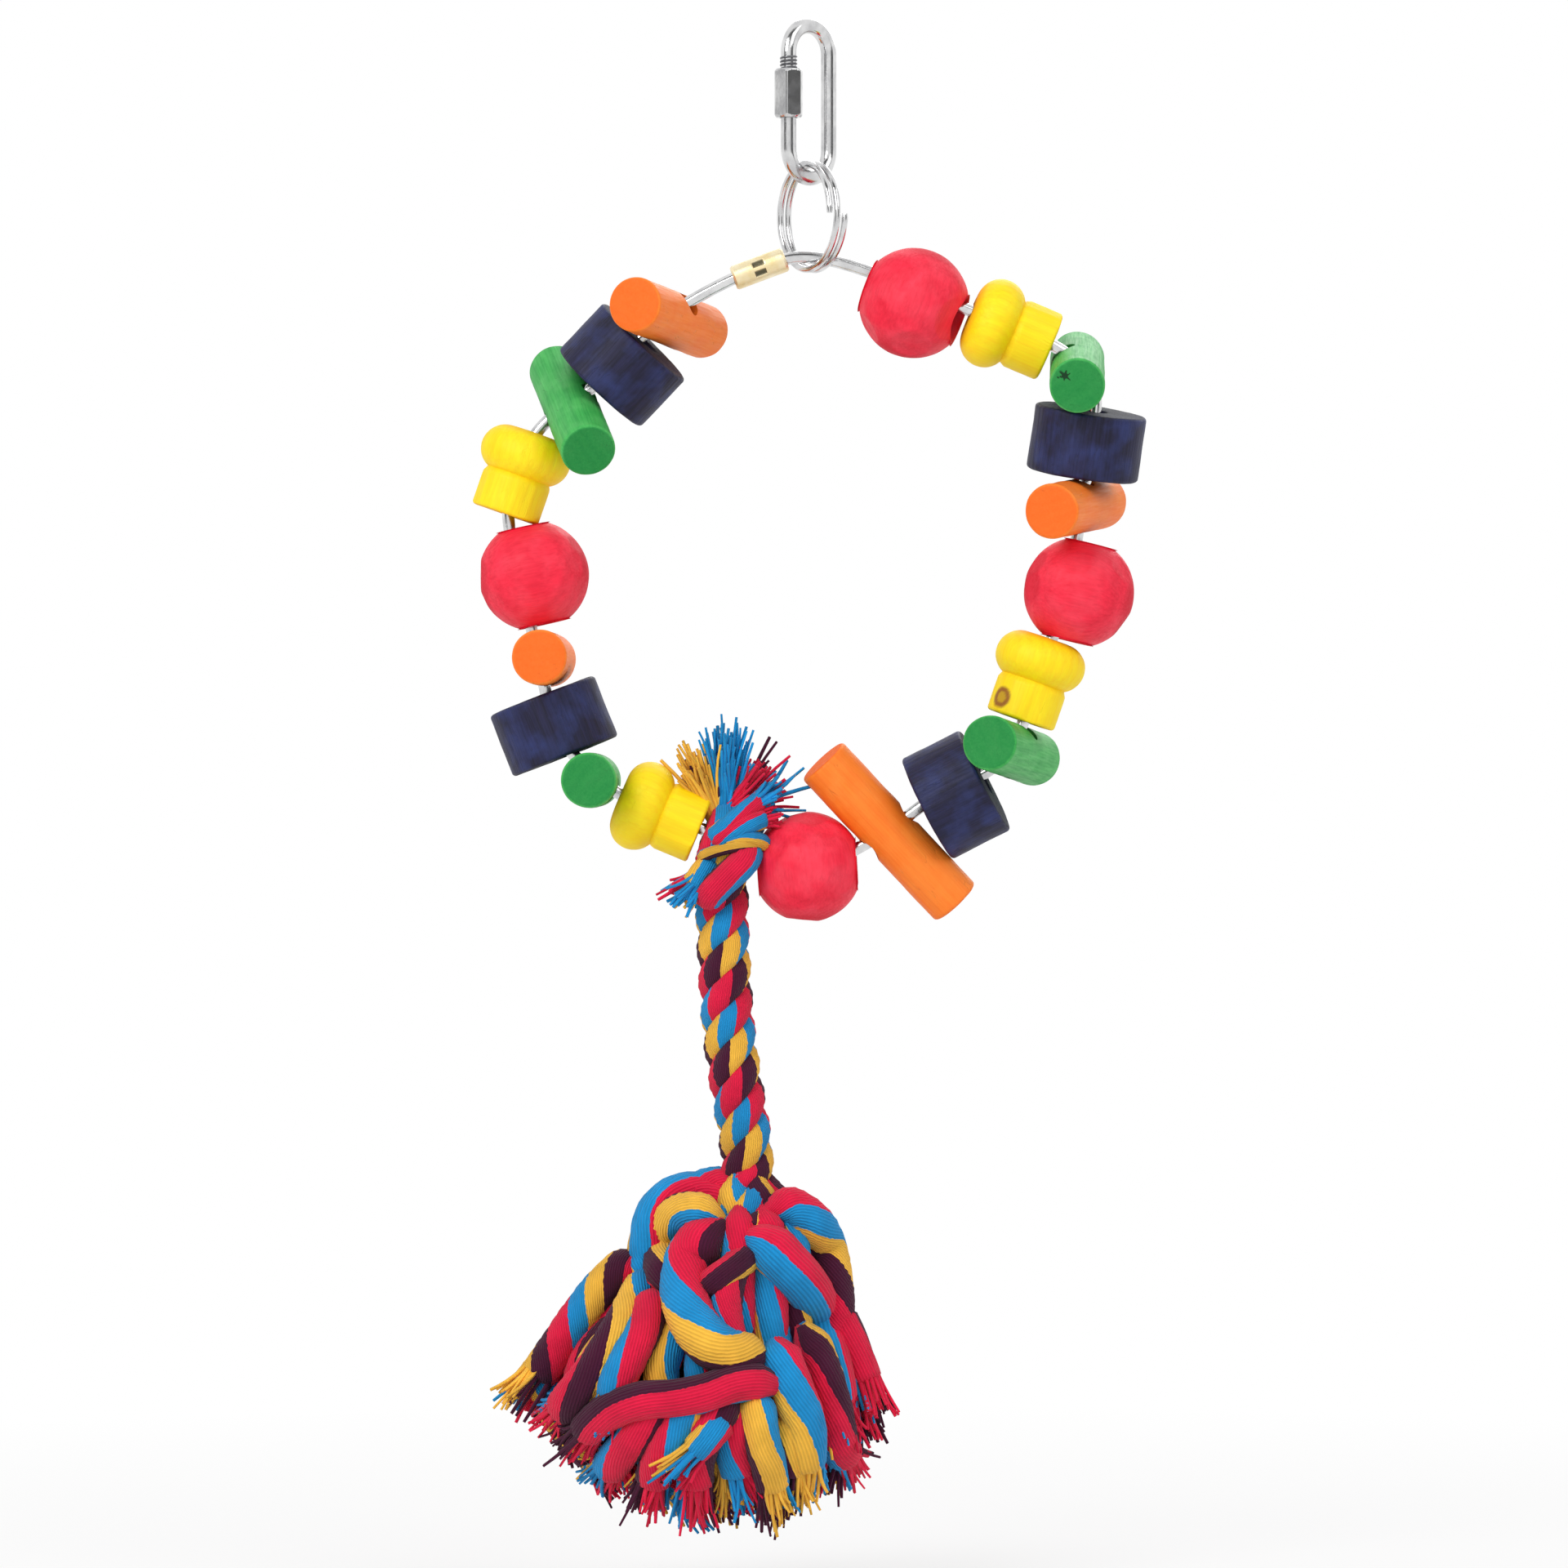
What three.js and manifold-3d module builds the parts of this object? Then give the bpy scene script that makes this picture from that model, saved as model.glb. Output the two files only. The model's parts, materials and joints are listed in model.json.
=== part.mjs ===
// Hanging parrot wheel toy: a bent wire hoop strung with dyed wooden beads. A quick link and a split ring
// hang it in a cage, and a knotted cotton rope with a tassel hangs from the bottom of the hoop.
// Millimetres, +Z up. The origin is where the quick link rests on a cage bar, and the front faces -Y.
import * as THREE from 'three';
import { mergeVertices } from 'three/addons/utils/BufferGeometryUtils.js';
import Module from 'manifold-3d';

// Gap that pieces keep where they rest on each other
const CLEARANCE = 0.3;

// Quick link
const LINK_WIRE = 3.5;
const LINK_LENGTH = 38;
const LINK_WIDTH = 16.4;
const LINK_TURN_DEG = 45;
const LINK_UPPER_END = 11.5;
const LINK_GATE = 3.8;
const NUT_SIDES = 6;
const NUT_LENGTH = 11;
const NUT_ACROSS_CORNERS = 7;
const NUT_OVERLAP = 3;
const NUT_CHAMFER = 0.5;

// Split ring
const RING_BORE = 22.4;
const RING_WIRE = 1.5;
const RING_TURNS = 2;
const RING_TURN_GAP = 0.5;
const QUARTER_TURN = 0.25;
const RING_TURN_DEG = -60;

// Hoop wire and the crimped sleeve that closes it
const HOOP_WIRE = 2.8;
const HOOP_END_GAP = 1;
const SLEEVE_LENGTH = 12.6;
const SLEEVE_DIAMETER = 5.6;
const SLEEVE_BORE = 3.9;
const CRIMP_LENGTH = 2.6;
const CRIMP_WIDTH = 1.2;
const CRIMP_DEPTH = 0.4;
const CRIMP_SPREAD = 2.2;

// The bend of the hoop, X and Z from the point under the split ring, clockwise from the front
const HOOP_BEND = [
  [0, 0], [29.7, -9.6], [55.9, -21.5], [60.4, -28.5], [59.4, -39.7], [56.5, -60.1], [53.6, -74],
  [48.8, -87.5], [44.6, -99.8], [39.8, -107], [33, -111.2], [27.4, -113.6], [17, -120.8], [6.8, -126.4],
  [-3.5, -127.8], [-13.5, -125.3], [-30.2, -116.7], [-40.2, -113.2], [-52.8, -100.9], [-56.2, -88.9],
  [-59.8, -72], [-63.4, -51.7], [-57.3, -36.9], [-43.7, -25.9], [-31.8, -13.8], [-11.4, -2.6],
];

// Bare stretches of the hoop wire
const RING_ROOM = 10.6;
const BARE_RIGHT = 9.0;
const BARE_LEFT = 11;

// How far the outward side of a piece must face down before it hangs below the wire
const HANGS_BELOW = -0.4;

// Wooden beads
const BALL_DIAMETER = 25;
const BALL_BORE = 10;
const BALL_NEST = 1.3;
const SPOOL_LENGTH = 19.6;
const SPOOL_BODY_DIAMETER = 16;
const SPOOL_WAIST_DIAMETER = 14.8;
const SPOOL_HEAD_DIAMETER = 20.8;
const SPOOL_HEAD_LENGTH = 11;
const SPOOL_BORE = 5.4;
const SPOOL_EDGE = 0.7;
const BLOCK_DIAMETER = 25.4;
const BLOCK_LENGTH = 14.8;
const BLOCK_BORE = 6.5;
const BLOCK_EDGE = 0.6;
const DOWEL_DIAMETER = 12.4;
const DOWEL_LENGTH = 44.5;
const DOWEL_BORE = 6.5;
const DOWEL_EDGE = 0.8;

// Rope, its hitch on the hoop and its tassel
const ROPE_DIAMETER = 12.2;
const ROPE_DROP = 66;
const ROPE_SWAY = [[-1, 0], [-1, 0.1], [0.6, 0.5], [4.5, 0.9], [4.5, 1]];
const HITCH_DIAMETER = 21;
const HITCH_LENGTH = 12.5;
const HITCH_BORE = 3.8;
const TUFT_ROWS = [[0, 0, 3.2, 4.5], [1, 6, 6.5, 6], [2.5, 12, 9, 6.5], [4.5, 18, 7, 4.5]];

// Rows of the tassel from its top: middle X, depth below the top, half width, half depth
const KNOT_ROWS = [
  [0, 0, 8, 8], [0, 2.5, 16, 14], [-0.5, 8, 21.5, 18], [-1.5, 17, 22.5, 19.5], [-6, 27, 27, 23],
];
const SKIRT_ROWS = [
  [-7, 0, 28, 24], [-12, 7, 33.5, 29], [-12.8, 17.5, 39, 33], [-9.5, 28.5, 36.5, 31], [-6.5, 39.5, 29, 25],
  [-3, 48, 20, 18], [0, 53.5, 10, 10],
];
const KNOT_LOBES = 4;
const KNOT_LOBE_DEPTH = 0.1;
const SKIRT_LOBES = 12;
const SKIRT_LOBE_DEPTH = 0.06;

// Facets
const WIRE_SIDES = 8;
const LINK_SIDES = 10;
const RING_SIDES = 6;
const RING_STEPS_PER_TURN = 24;
const WIRE_STEP = 4.5;
const LINK_STEP = 2;
const BEAD_SIDES = 20;
const BALL_ROWS = 11;
const HEAD_ROWS = 7;
const BORE_SIDES = 16;
const ROPE_SIDES = 12;
const ROPE_STEPS = 4;
const TASSEL_SIDES = 24;
const ARC_DIVISIONS = 2000;
const SEAT_SAMPLES = 8;
// A seat looks a little past both ends of its bore
const SEAT_REACH = 1.04;

const wasm = await Module();
wasm.setup();

// Colours and finishes
const FINISHES = {
  steel: { color: '#b9bdbf', roughness: 0.28, metalness: 1 },
  brass: { color: '#e3cf94', roughness: 0.35, metalness: 0.9 },
  red: { color: '#d8213f', roughness: 0.6, metalness: 0 },
  yellow: { color: '#f5d60a', roughness: 0.55, metalness: 0 },
  green: { color: '#23913f', roughness: 0.62, metalness: 0 },
  blue: { color: '#252a52', roughness: 0.7, metalness: 0 },
  orange: { color: '#f07c22', roughness: 0.6, metalness: 0 },
  cotton: { color: '#a8284f', roughness: 0.95, metalness: 0 },
};

// Solids: one closed skin with shared corners
function welded(geometry) {
  const bare = geometry.clone();
  bare.deleteAttribute('normal');
  bare.deleteAttribute('uv');
  return mergeVertices(bare);
}

function toSolid(geometry) {
  const skin = welded(geometry);
  return new wasm.Manifold(new wasm.Mesh({
    numProp: 3,
    vertProperties: Float32Array.from(skin.attributes.position.array),
    triVerts: Uint32Array.from(skin.index.array),
  }));
}

function cut(geometry, ...tools) {
  let solid = toSolid(geometry);
  for (const tool of tools) {
    solid = solid.subtract(toSolid(tool));
  }
  const result = solid.getMesh();
  const skin = new THREE.BufferGeometry();
  skin.setAttribute('position', new THREE.BufferAttribute(result.vertProperties, 3));
  skin.setIndex(new THREE.BufferAttribute(result.triVerts, 1));
  return skin;
}

function piece(name, geometry, finish) {
  const skin = welded(geometry);
  skin.computeVertexNormals();
  const mesh = new THREE.Mesh(skin, new THREE.MeshStandardMaterial(FINISHES[finish]));
  mesh.name = name;
  return mesh;
}

// A round section swept along a path
function tube(path, diameter, sides, steps) {
  const corners = [];
  for (let i = 0; i < sides; i += 1) {
    const angle = (2 * Math.PI * i) / sides;
    corners.push(new THREE.Vector2(Math.cos(angle), Math.sin(angle)).multiplyScalar(diameter / 2));
  }
  const options = { steps, extrudePath: path, bevelEnabled: false };
  return new THREE.ExtrudeGeometry(new THREE.Shape(corners), options);
}

// A profile of radius and height turned about Z
function turned(profile, sides) {
  const points = profile.map(([radius, height]) => new THREE.Vector2(radius, height));
  return new THREE.LatheGeometry(points, sides).rotateX(Math.PI / 2);
}

// A turned profile with a straight bore, closed on itself
function turnedWithBore(outside, sides) {
  return turned([...outside, outside[0]], sides);
}

// A body lofted through level oval rows with soft lobes round it
function lofted(rows, sides, lobes = 0, lobeDepth = 0) {
  const positions = [];
  const faces = [];
  for (const [middle, height, halfWidth, halfDepth] of rows) {
    for (let i = 0; i < sides; i += 1) {
      const angle = (2 * Math.PI * i) / sides;
      const swell = 1 - lobeDepth * (1 - Math.cos(lobes * angle));
      const x = middle + halfWidth * swell * Math.cos(angle);
      positions.push(x, halfDepth * swell * Math.sin(angle), height);
    }
  }
  for (let row = 0; row + 1 < rows.length; row += 1) {
    for (let i = 0; i < sides; i += 1) {
      const a = row * sides + i;
      const b = row * sides + ((i + 1) % sides);
      faces.push(a, b, b + sides, a, b + sides, a + sides);
    }
  }
  const last = (rows.length - 1) * sides;
  for (let i = 1; i + 1 < sides; i += 1) {
    faces.push(0, i + 1, i, last, last + i, last + i + 1);
  }
  const geometry = new THREE.BufferGeometry();
  geometry.setAttribute('position', new THREE.Float32BufferAttribute(positions, 3));
  geometry.setIndex(faces);
  return geometry;
}

// Rows that are listed from the top down, as heights that rise from the bottom
function hanging(rows) {
  return rows.map(([middle, depth, width, thickness]) => [middle, -depth, width, thickness]).reverse();
}

// Half a turn of wire in the XZ plane
class Bow extends THREE.Curve {
  constructor(height, radius, startAngle) {
    super();
    this.height = height;
    this.radius = radius;
    this.startAngle = startAngle;
  }

  getPoint(t) {
    const angle = this.startAngle - Math.PI * t;
    return new THREE.Vector3(this.radius * Math.cos(angle), 0, this.height + this.radius * Math.sin(angle));
  }
}

// Two turns of wire side by side, in the XZ plane
class RingCoil extends THREE.Curve {
  getPoint(t) {
    const angle = 2 * Math.PI * RING_TURNS * t;
    const across = (t - 0.5) * RING_TURNS * ringPitch;
    return new THREE.Vector3(ringRadius * Math.cos(angle), across, ringRadius * Math.sin(angle));
  }
}

// A stretch of the hoop between two distances along its wire
class HoopStretch extends THREE.Curve {
  constructor(from, to) {
    super();
    this.from = from;
    this.to = to;
  }

  getPoint(t) {
    return hoopPoint(this.from + (this.to - this.from) * t);
  }
}

const degrees = THREE.MathUtils.degToRad;

// Places of the link, the ring and the top of the hoop
const bowRadius = (LINK_WIDTH - LINK_WIRE) / 2;
const bowInside = bowRadius - LINK_WIRE / 2;
const upperBow = -bowInside;
const lowerBow = -(LINK_LENGTH - 2 * LINK_WIRE) + bowInside;
const gateBottom = -(LINK_UPPER_END + LINK_GATE);
const nutMiddle = NUT_OVERLAP - LINK_UPPER_END - NUT_LENGTH / 2;
const nutBore = LINK_WIRE + 2 * CLEARANCE;
const ringRadius = (RING_BORE + RING_WIRE) / 2;
const ringPitch = RING_WIRE + RING_TURN_GAP;
const ringHalfWidth = (RING_TURNS / 2 - QUARTER_TURN) * ringPitch;
const ringTop = lowerBow - Math.sqrt((bowInside - RING_WIRE / 2 - CLEARANCE) ** 2 - ringHalfWidth ** 2);
const ringMiddle = ringTop - ringRadius;
const ringTurn = Math.abs(degrees(RING_TURN_DEG));
const hoopReach = (ringHalfWidth + RING_WIRE / 2) / Math.tan(ringTurn) + HOOP_WIRE / 2;
const hoopTop = ringMiddle - Math.sqrt((RING_BORE / 2 - CLEARANCE) ** 2 - hoopReach ** 2) + HOOP_WIRE / 2;

// Bead shapes, each with its bore along Z and its middle at the origin
function ball() {
  const radius = BALL_DIAMETER / 2;
  const edge = Math.acos(BALL_BORE / BALL_DIAMETER);
  const outside = [];
  for (let i = 0; i <= BALL_ROWS; i += 1) {
    const angle = edge * ((2 * i) / BALL_ROWS - 1);
    outside.push([radius * Math.cos(angle), radius * Math.sin(angle)]);
  }
  return turnedWithBore(outside, BEAD_SIDES);
}

function spool() {
  const bottom = -SPOOL_LENGTH / 2;
  const roundness = SPOOL_HEAD_LENGTH / 2;
  const headMiddle = SPOOL_LENGTH / 2 - roundness;
  const headCore = SPOOL_HEAD_DIAMETER / 2 - roundness;
  const waistAngle = -Math.acos((SPOOL_WAIST_DIAMETER / 2 - headCore) / roundness);
  const outside = [
    [SPOOL_BORE / 2, bottom],
    [SPOOL_BODY_DIAMETER / 2 - SPOOL_EDGE, bottom],
    [SPOOL_BODY_DIAMETER / 2, bottom + SPOOL_EDGE],
  ];
  for (let i = 0; i <= HEAD_ROWS; i += 1) {
    const angle = waistAngle + (Math.PI / 2 - waistAngle) * (i / HEAD_ROWS);
    outside.push([headCore + roundness * Math.cos(angle), headMiddle + roundness * Math.sin(angle)]);
  }
  outside.push([SPOOL_BORE / 2, SPOOL_LENGTH / 2]);
  return turnedWithBore(outside, BEAD_SIDES);
}

function block() {
  const radius = BLOCK_DIAMETER / 2;
  const end = BLOCK_LENGTH / 2;
  return turnedWithBore([
    [BLOCK_BORE / 2, -end],
    [radius - BLOCK_EDGE, -end],
    [radius, BLOCK_EDGE - end],
    [radius, end - BLOCK_EDGE],
    [radius - BLOCK_EDGE, end],
    [BLOCK_BORE / 2, end],
  ], BEAD_SIDES);
}

// A dowel is drilled across its middle, and its own length runs along Y
function dowel() {
  const radius = DOWEL_DIAMETER / 2;
  const end = DOWEL_LENGTH / 2;
  const rod = turned([
    [0, -end],
    [radius - DOWEL_EDGE, -end],
    [radius, DOWEL_EDGE - end],
    [radius, end - DOWEL_EDGE],
    [radius - DOWEL_EDGE, end],
    [0, end],
  ], BEAD_SIDES).rotateX(-Math.PI / 2);
  const drill = new THREE.CylinderGeometry(DOWEL_BORE / 2, DOWEL_BORE / 2, 2 * DOWEL_DIAMETER, BORE_SIDES);
  return cut(rod, drill.rotateX(Math.PI / 2));
}

function hitch() {
  const radius = HITCH_DIAMETER / 2;
  const round = HITCH_LENGTH / 2;
  const outside = [[HITCH_BORE / 2, -round]];
  for (let i = 0; i <= HEAD_ROWS; i += 1) {
    const angle = Math.PI * (i / HEAD_ROWS - 0.5);
    outside.push([radius - round + round * Math.cos(angle), round * Math.sin(angle)]);
  }
  outside.push([HITCH_BORE / 2, round]);
  return turnedWithBore(outside, BEAD_SIDES);
}

const ballLength = Math.sqrt(BALL_DIAMETER ** 2 - BALL_BORE ** 2);
const SHAPES = {
  ball: { build: ball, length: ballLength, room: BALL_DIAMETER - BALL_NEST, bore: BALL_BORE },
  spool: { build: spool, length: SPOOL_LENGTH, room: SPOOL_LENGTH, bore: SPOOL_BORE },
  block: { build: block, length: BLOCK_LENGTH, room: BLOCK_LENGTH, bore: BLOCK_BORE },
  dowel: { build: dowel, length: DOWEL_DIAMETER, room: DOWEL_DIAMETER, bore: DOWEL_BORE },
  hitch: { build: hitch, length: HITCH_LENGTH, room: HITCH_LENGTH, bore: HITCH_BORE },
};

// The string, clockwise from the split ring. Space is the bare wire before a piece, and spin turns a dowel
// about the wire, in degrees. Lean tips the front end on along the wire and cant tips a piece within the
// hoop, both as a share of the play in its bore. Leans out puts a piece outside a steep wire.
const STRING = [
  { name: 'red_ball_1', shape: 'ball', finish: 'red', space: BARE_RIGHT, lean: -0.4 },
  { name: 'yellow_spool_1', shape: 'spool', finish: 'yellow', space: 1, headFirst: true, lean: 0.5 },
  { name: 'green_dowel_1', shape: 'dowel', finish: 'green', space: 2.7, spin: -9, lean: 0.55, cant: -0.15 },
  { name: 'blue_block_1', shape: 'block', finish: 'blue', space: 4.4, lean: 0.7 },
  { name: 'orange_dowel_1', shape: 'dowel', finish: 'orange', space: 1.05, spin: -16, lean: 0.55 },
  { name: 'red_ball_2', shape: 'ball', finish: 'red', space: 0.9, leansOut: true },
  { name: 'yellow_spool_2', shape: 'spool', finish: 'yellow', space: 0.1, headFirst: true, lean: 0.05 },
  { name: 'green_dowel_2', shape: 'dowel', finish: 'green', space: 0.9, spin: -15, lean: 0.35, cant: 0 },
  { name: 'blue_block_2', shape: 'block', finish: 'blue', space: 2.4, lean: 0.45 },
  { name: 'orange_dowel_2', shape: 'dowel', finish: 'orange', space: 4.0, spin: -82, cant: 0.7 },
  { name: 'red_ball_3', shape: 'ball', finish: 'red', space: 2.0, lean: 0.1 },
  { name: 'rope_hitch', shape: 'hitch', finish: 'cotton', space: 1.0 },
  { name: 'yellow_spool_3', shape: 'spool', finish: 'yellow', space: 0.6 },
  { name: 'green_dowel_3', shape: 'dowel', finish: 'green', space: 1.1 },
  { name: 'blue_block_3', shape: 'block', finish: 'blue', space: 1.2, cant: -0.2 },
  { name: 'orange_dowel_3', shape: 'dowel', finish: 'orange', space: 1.9, spin: 1, cant: 0.05 },
  { name: 'red_ball_4', shape: 'ball', finish: 'red', space: 0.8 },
  { name: 'yellow_spool_4', shape: 'spool', finish: 'yellow', space: 3.05, lean: -0.05 },
  { name: 'green_dowel_4', shape: 'dowel', finish: 'green', space: 3.85, spin: -29, lean: -0.55 },
  { name: 'blue_block_4', shape: 'block', finish: 'blue', space: 1.5, lean: -0.6 },
  { name: 'orange_dowel_4', shape: 'dowel', finish: 'orange', space: 1.65, spin: 15, lean: -0.95, cant: 0.1 },
];

// The wire is cut to the length that its beads, sleeve and bare stretches need, and keeps its bend
const stringLength = STRING.reduce((sum, bead) => sum + bead.space + SHAPES[bead.shape].room, 0);
const hoopLength = RING_ROOM + stringLength + BARE_LEFT + SLEEVE_LENGTH;

function bentHoop(scale) {
  const points = HOOP_BEND.map(([x, z]) => new THREE.Vector3(x, 0, z).multiplyScalar(scale));
  const curve = new THREE.CatmullRomCurve3(points, true, 'centripetal');
  curve.arcLengthDivisions = ARC_DIVISIONS;
  return curve;
}

const hoopCurve = bentHoop(hoopLength / bentHoop(1).getLength());

function hoopPoint(distance) {
  const share = distance / hoopLength;
  return hoopCurve.getPointAt(share - Math.floor(share));
}

// A seat on the hoop wire: the frame of a piece whose bore hangs on the wire, with the given gap to it.
// X points out of the hoop, Y to the front and Z along the wire. The bore rests on the wire from above,
// so a piece hangs inside the hoop round its top and sides, and below the wire along its bottom.
function seat(distance, length, bore, leanShare, cantShare, leansOut) {
  const before = hoopPoint(distance - length / 2);
  const after = hoopPoint(distance + length / 2);
  const along = after.clone().sub(before).normalize();
  const outward = new THREE.Vector3(-along.z, 0, along.x);
  const front = along.clone().cross(outward);
  const play = (bore - HOOP_WIRE) / 2 - CLEARANCE;
  const group = new THREE.Group();
  group.position.copy(before).add(after).multiplyScalar(0.5);
  group.quaternion.setFromRotationMatrix(new THREE.Matrix4().makeBasis(outward, front, along));
  group.rotateX(Math.atan((leanShare * play) / (length / 2)));
  group.rotateY(Math.atan((cantShare * play) / (length / 2)));
  group.updateMatrixWorld();
  const side = leansOut || outward.z < HANGS_BELOW ? 1 : -1;
  let drop = Infinity;
  for (let i = 0; i <= SEAT_SAMPLES; i += 1) {
    const offset = SEAT_REACH * length * (i / SEAT_SAMPLES - 0.5);
    const wire = group.worldToLocal(hoopPoint(distance + offset));
    drop = Math.min(drop, side * wire.x + Math.sqrt(play ** 2 - wire.y ** 2));
  }
  group.translateX(side * drop);
  return group;
}

// Quick link with its screw nut
function quickLink() {
  const path = new THREE.CurvePath();
  const left = (height) => new THREE.Vector3(-bowRadius, 0, height);
  const right = (height) => new THREE.Vector3(bowRadius, 0, height);
  path.add(new THREE.LineCurve3(left(-LINK_UPPER_END), left(upperBow)));
  path.add(new Bow(upperBow, bowRadius, Math.PI));
  path.add(new THREE.LineCurve3(right(upperBow), right(lowerBow)));
  path.add(new Bow(lowerBow, bowRadius, 0));
  path.add(new THREE.LineCurve3(left(lowerBow), left(gateBottom)));
  const steps = Math.round(path.getLength() / LINK_STEP);
  return piece('quick_link', tube(path, LINK_WIRE, LINK_SIDES, steps), 'steel');
}

function linkNut() {
  const radius = NUT_ACROSS_CORNERS / 2;
  const end = NUT_LENGTH / 2;
  const hexagon = turned([
    [0, -end],
    [radius - NUT_CHAMFER, -end],
    [radius, NUT_CHAMFER - end],
    [radius, end - NUT_CHAMFER],
    [radius - NUT_CHAMFER, end],
    [0, end],
  ], NUT_SIDES);
  const bore = new THREE.CylinderGeometry(nutBore / 2, nutBore / 2, 2 * NUT_LENGTH, BORE_SIDES);
  const nut = piece('link_nut', cut(hexagon, bore.rotateX(Math.PI / 2)), 'steel');
  nut.position.set(-bowRadius, 0, nutMiddle);
  return nut;
}

// Split ring of two turns, with the least gap between them measured on its path
function splitRing() {
  const coil = new RingCoil();
  const steps = RING_TURNS * RING_STEPS_PER_TURN;
  const points = coil.getSpacedPoints(steps);
  let least = Infinity;
  for (let i = 0; i < points.length; i += 1) {
    for (let j = i + RING_STEPS_PER_TURN / 2; j < points.length; j += 1) {
      least = Math.min(least, points[i].distanceTo(points[j]) - RING_WIRE);
    }
  }
  console.log(`Split ring: least gap between its turns ${least.toFixed(2)} mm`);
  const ring = piece('split_ring', tube(coil, RING_WIRE, RING_SIDES, steps), 'steel');
  ring.position.z = ringMiddle;
  ring.rotation.z = degrees(RING_TURN_DEG);
  return ring;
}

// Hoop wire, from one end inside the sleeve round to the other
const sleeveMiddle = -(RING_ROOM + SLEEVE_LENGTH) / 2;

function hoopWire() {
  const first = sleeveMiddle + HOOP_END_GAP / 2;
  const wire = new HoopStretch(first, first + hoopLength - HOOP_END_GAP);
  const steps = Math.round(hoopLength / WIRE_STEP);
  return piece('hoop_wire', tube(wire, HOOP_WIRE, WIRE_SIDES, steps), 'steel');
}

// Brass sleeve with two crimp marks in its front
function crimpSleeve() {
  const radius = SLEEVE_DIAMETER / 2;
  const end = SLEEVE_LENGTH / 2;
  const barrel = turnedWithBore([
    [SLEEVE_BORE / 2, -end],
    [radius, -end],
    [radius, end],
    [SLEEVE_BORE / 2, end],
  ], BEAD_SIDES);
  const marks = [-1, 1].map((side) => new THREE.BoxGeometry(CRIMP_WIDTH, CRIMP_DEPTH * 2, CRIMP_LENGTH)
    .translate((side * CRIMP_SPREAD) / 2, radius, 0));
  const group = seat(sleeveMiddle, SLEEVE_LENGTH, SLEEVE_BORE, 0, 0);
  group.add(piece('crimp_sleeve', cut(barrel, ...marks), 'brass'));
  return group;
}

// One piece of the string at its place along the wire
function strung(bead, distance) {
  const shape = SHAPES[bead.shape];
  const group = seat(distance, shape.length, shape.bore, bead.lean ?? 0, bead.cant ?? 0, bead.leansOut);
  const mesh = piece(bead.name, shape.build(), bead.finish);
  mesh.rotation.z = degrees(-(bead.spin ?? 0));
  mesh.rotation.x = bead.headFirst ? Math.PI : 0;
  group.add(mesh);
  return group;
}

function beadString() {
  const string = new THREE.Group();
  const places = new Map();
  let distance = RING_ROOM / 2;
  for (const bead of STRING) {
    const room = SHAPES[bead.shape].room;
    const group = strung(bead, distance + bead.space + room / 2);
    string.add(group);
    places.set(bead.name, group);
    distance += bead.space + room;
  }
  return { string, places };
}

// Rope below the hitch, with the loose ends of the knot and the tassel
function ropeDrop(hitchGroup) {
  const drop = new THREE.Group();
  drop.position.copy(hitchGroup.position);
  const ropeTop = -(HITCH_DIAMETER / 2 + CLEARANCE);
  const points = ROPE_SWAY.map(([x, share]) => new THREE.Vector3(x, 0, ropeTop - ROPE_DROP * share));
  const path = new THREE.CatmullRomCurve3(points);
  drop.add(piece('rope', tube(path, ROPE_DIAMETER, ROPE_SIDES, ROPE_STEPS), 'cotton'));
  const foot = points.at(-1);
  const knotForm = lofted(hanging(KNOT_ROWS), TASSEL_SIDES, KNOT_LOBES, KNOT_LOBE_DEPTH);
  const knot = piece('tassel_knot', knotForm, 'cotton');
  knot.position.set(foot.x, 0, foot.z - CLEARANCE);
  drop.add(knot);
  const skirtForm = lofted(hanging(SKIRT_ROWS), TASSEL_SIDES, SKIRT_LOBES, SKIRT_LOBE_DEPTH);
  const skirt = piece('tassel_skirt', skirtForm, 'cotton');
  skirt.position.set(foot.x, 0, knot.position.z - KNOT_ROWS.at(-1)[1] - CLEARANCE);
  drop.add(skirt);
  const tuft = piece('rope_tuft', lofted(TUFT_ROWS, BORE_SIDES), 'cotton');
  tuft.position.z = HITCH_DIAMETER / 2 + CLEARANCE;
  drop.add(tuft);
  return drop;
}

// The whole toy
const toy = new THREE.Group();
const link = new THREE.Group();
link.rotation.z = degrees(LINK_TURN_DEG);
link.add(quickLink(), linkNut());
const hoop = new THREE.Group();
hoop.position.z = hoopTop;
const { string, places } = beadString();
hoop.add(hoopWire(), crimpSleeve(), string, ropeDrop(places.get('rope_hitch')));
toy.add(link, splitRing(), hoop);

export default toy;
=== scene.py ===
# %% [markdown]
# # A parrot wheel toy
# The toy is a hoop of bent steel wire, strung with dyed wooden beads and hung by a quick link. A length of
# twisted cotton rope hangs below it and ends in a knot and a frayed tassel. The measured model already holds
# every piece at its real place, so this lesson only makes the surfaces that the eye sees.

# %% Load the measured model
import json
import math

import bmesh
import bpy
import numpy as np
from mathutils import Matrix, Vector, noise


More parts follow.
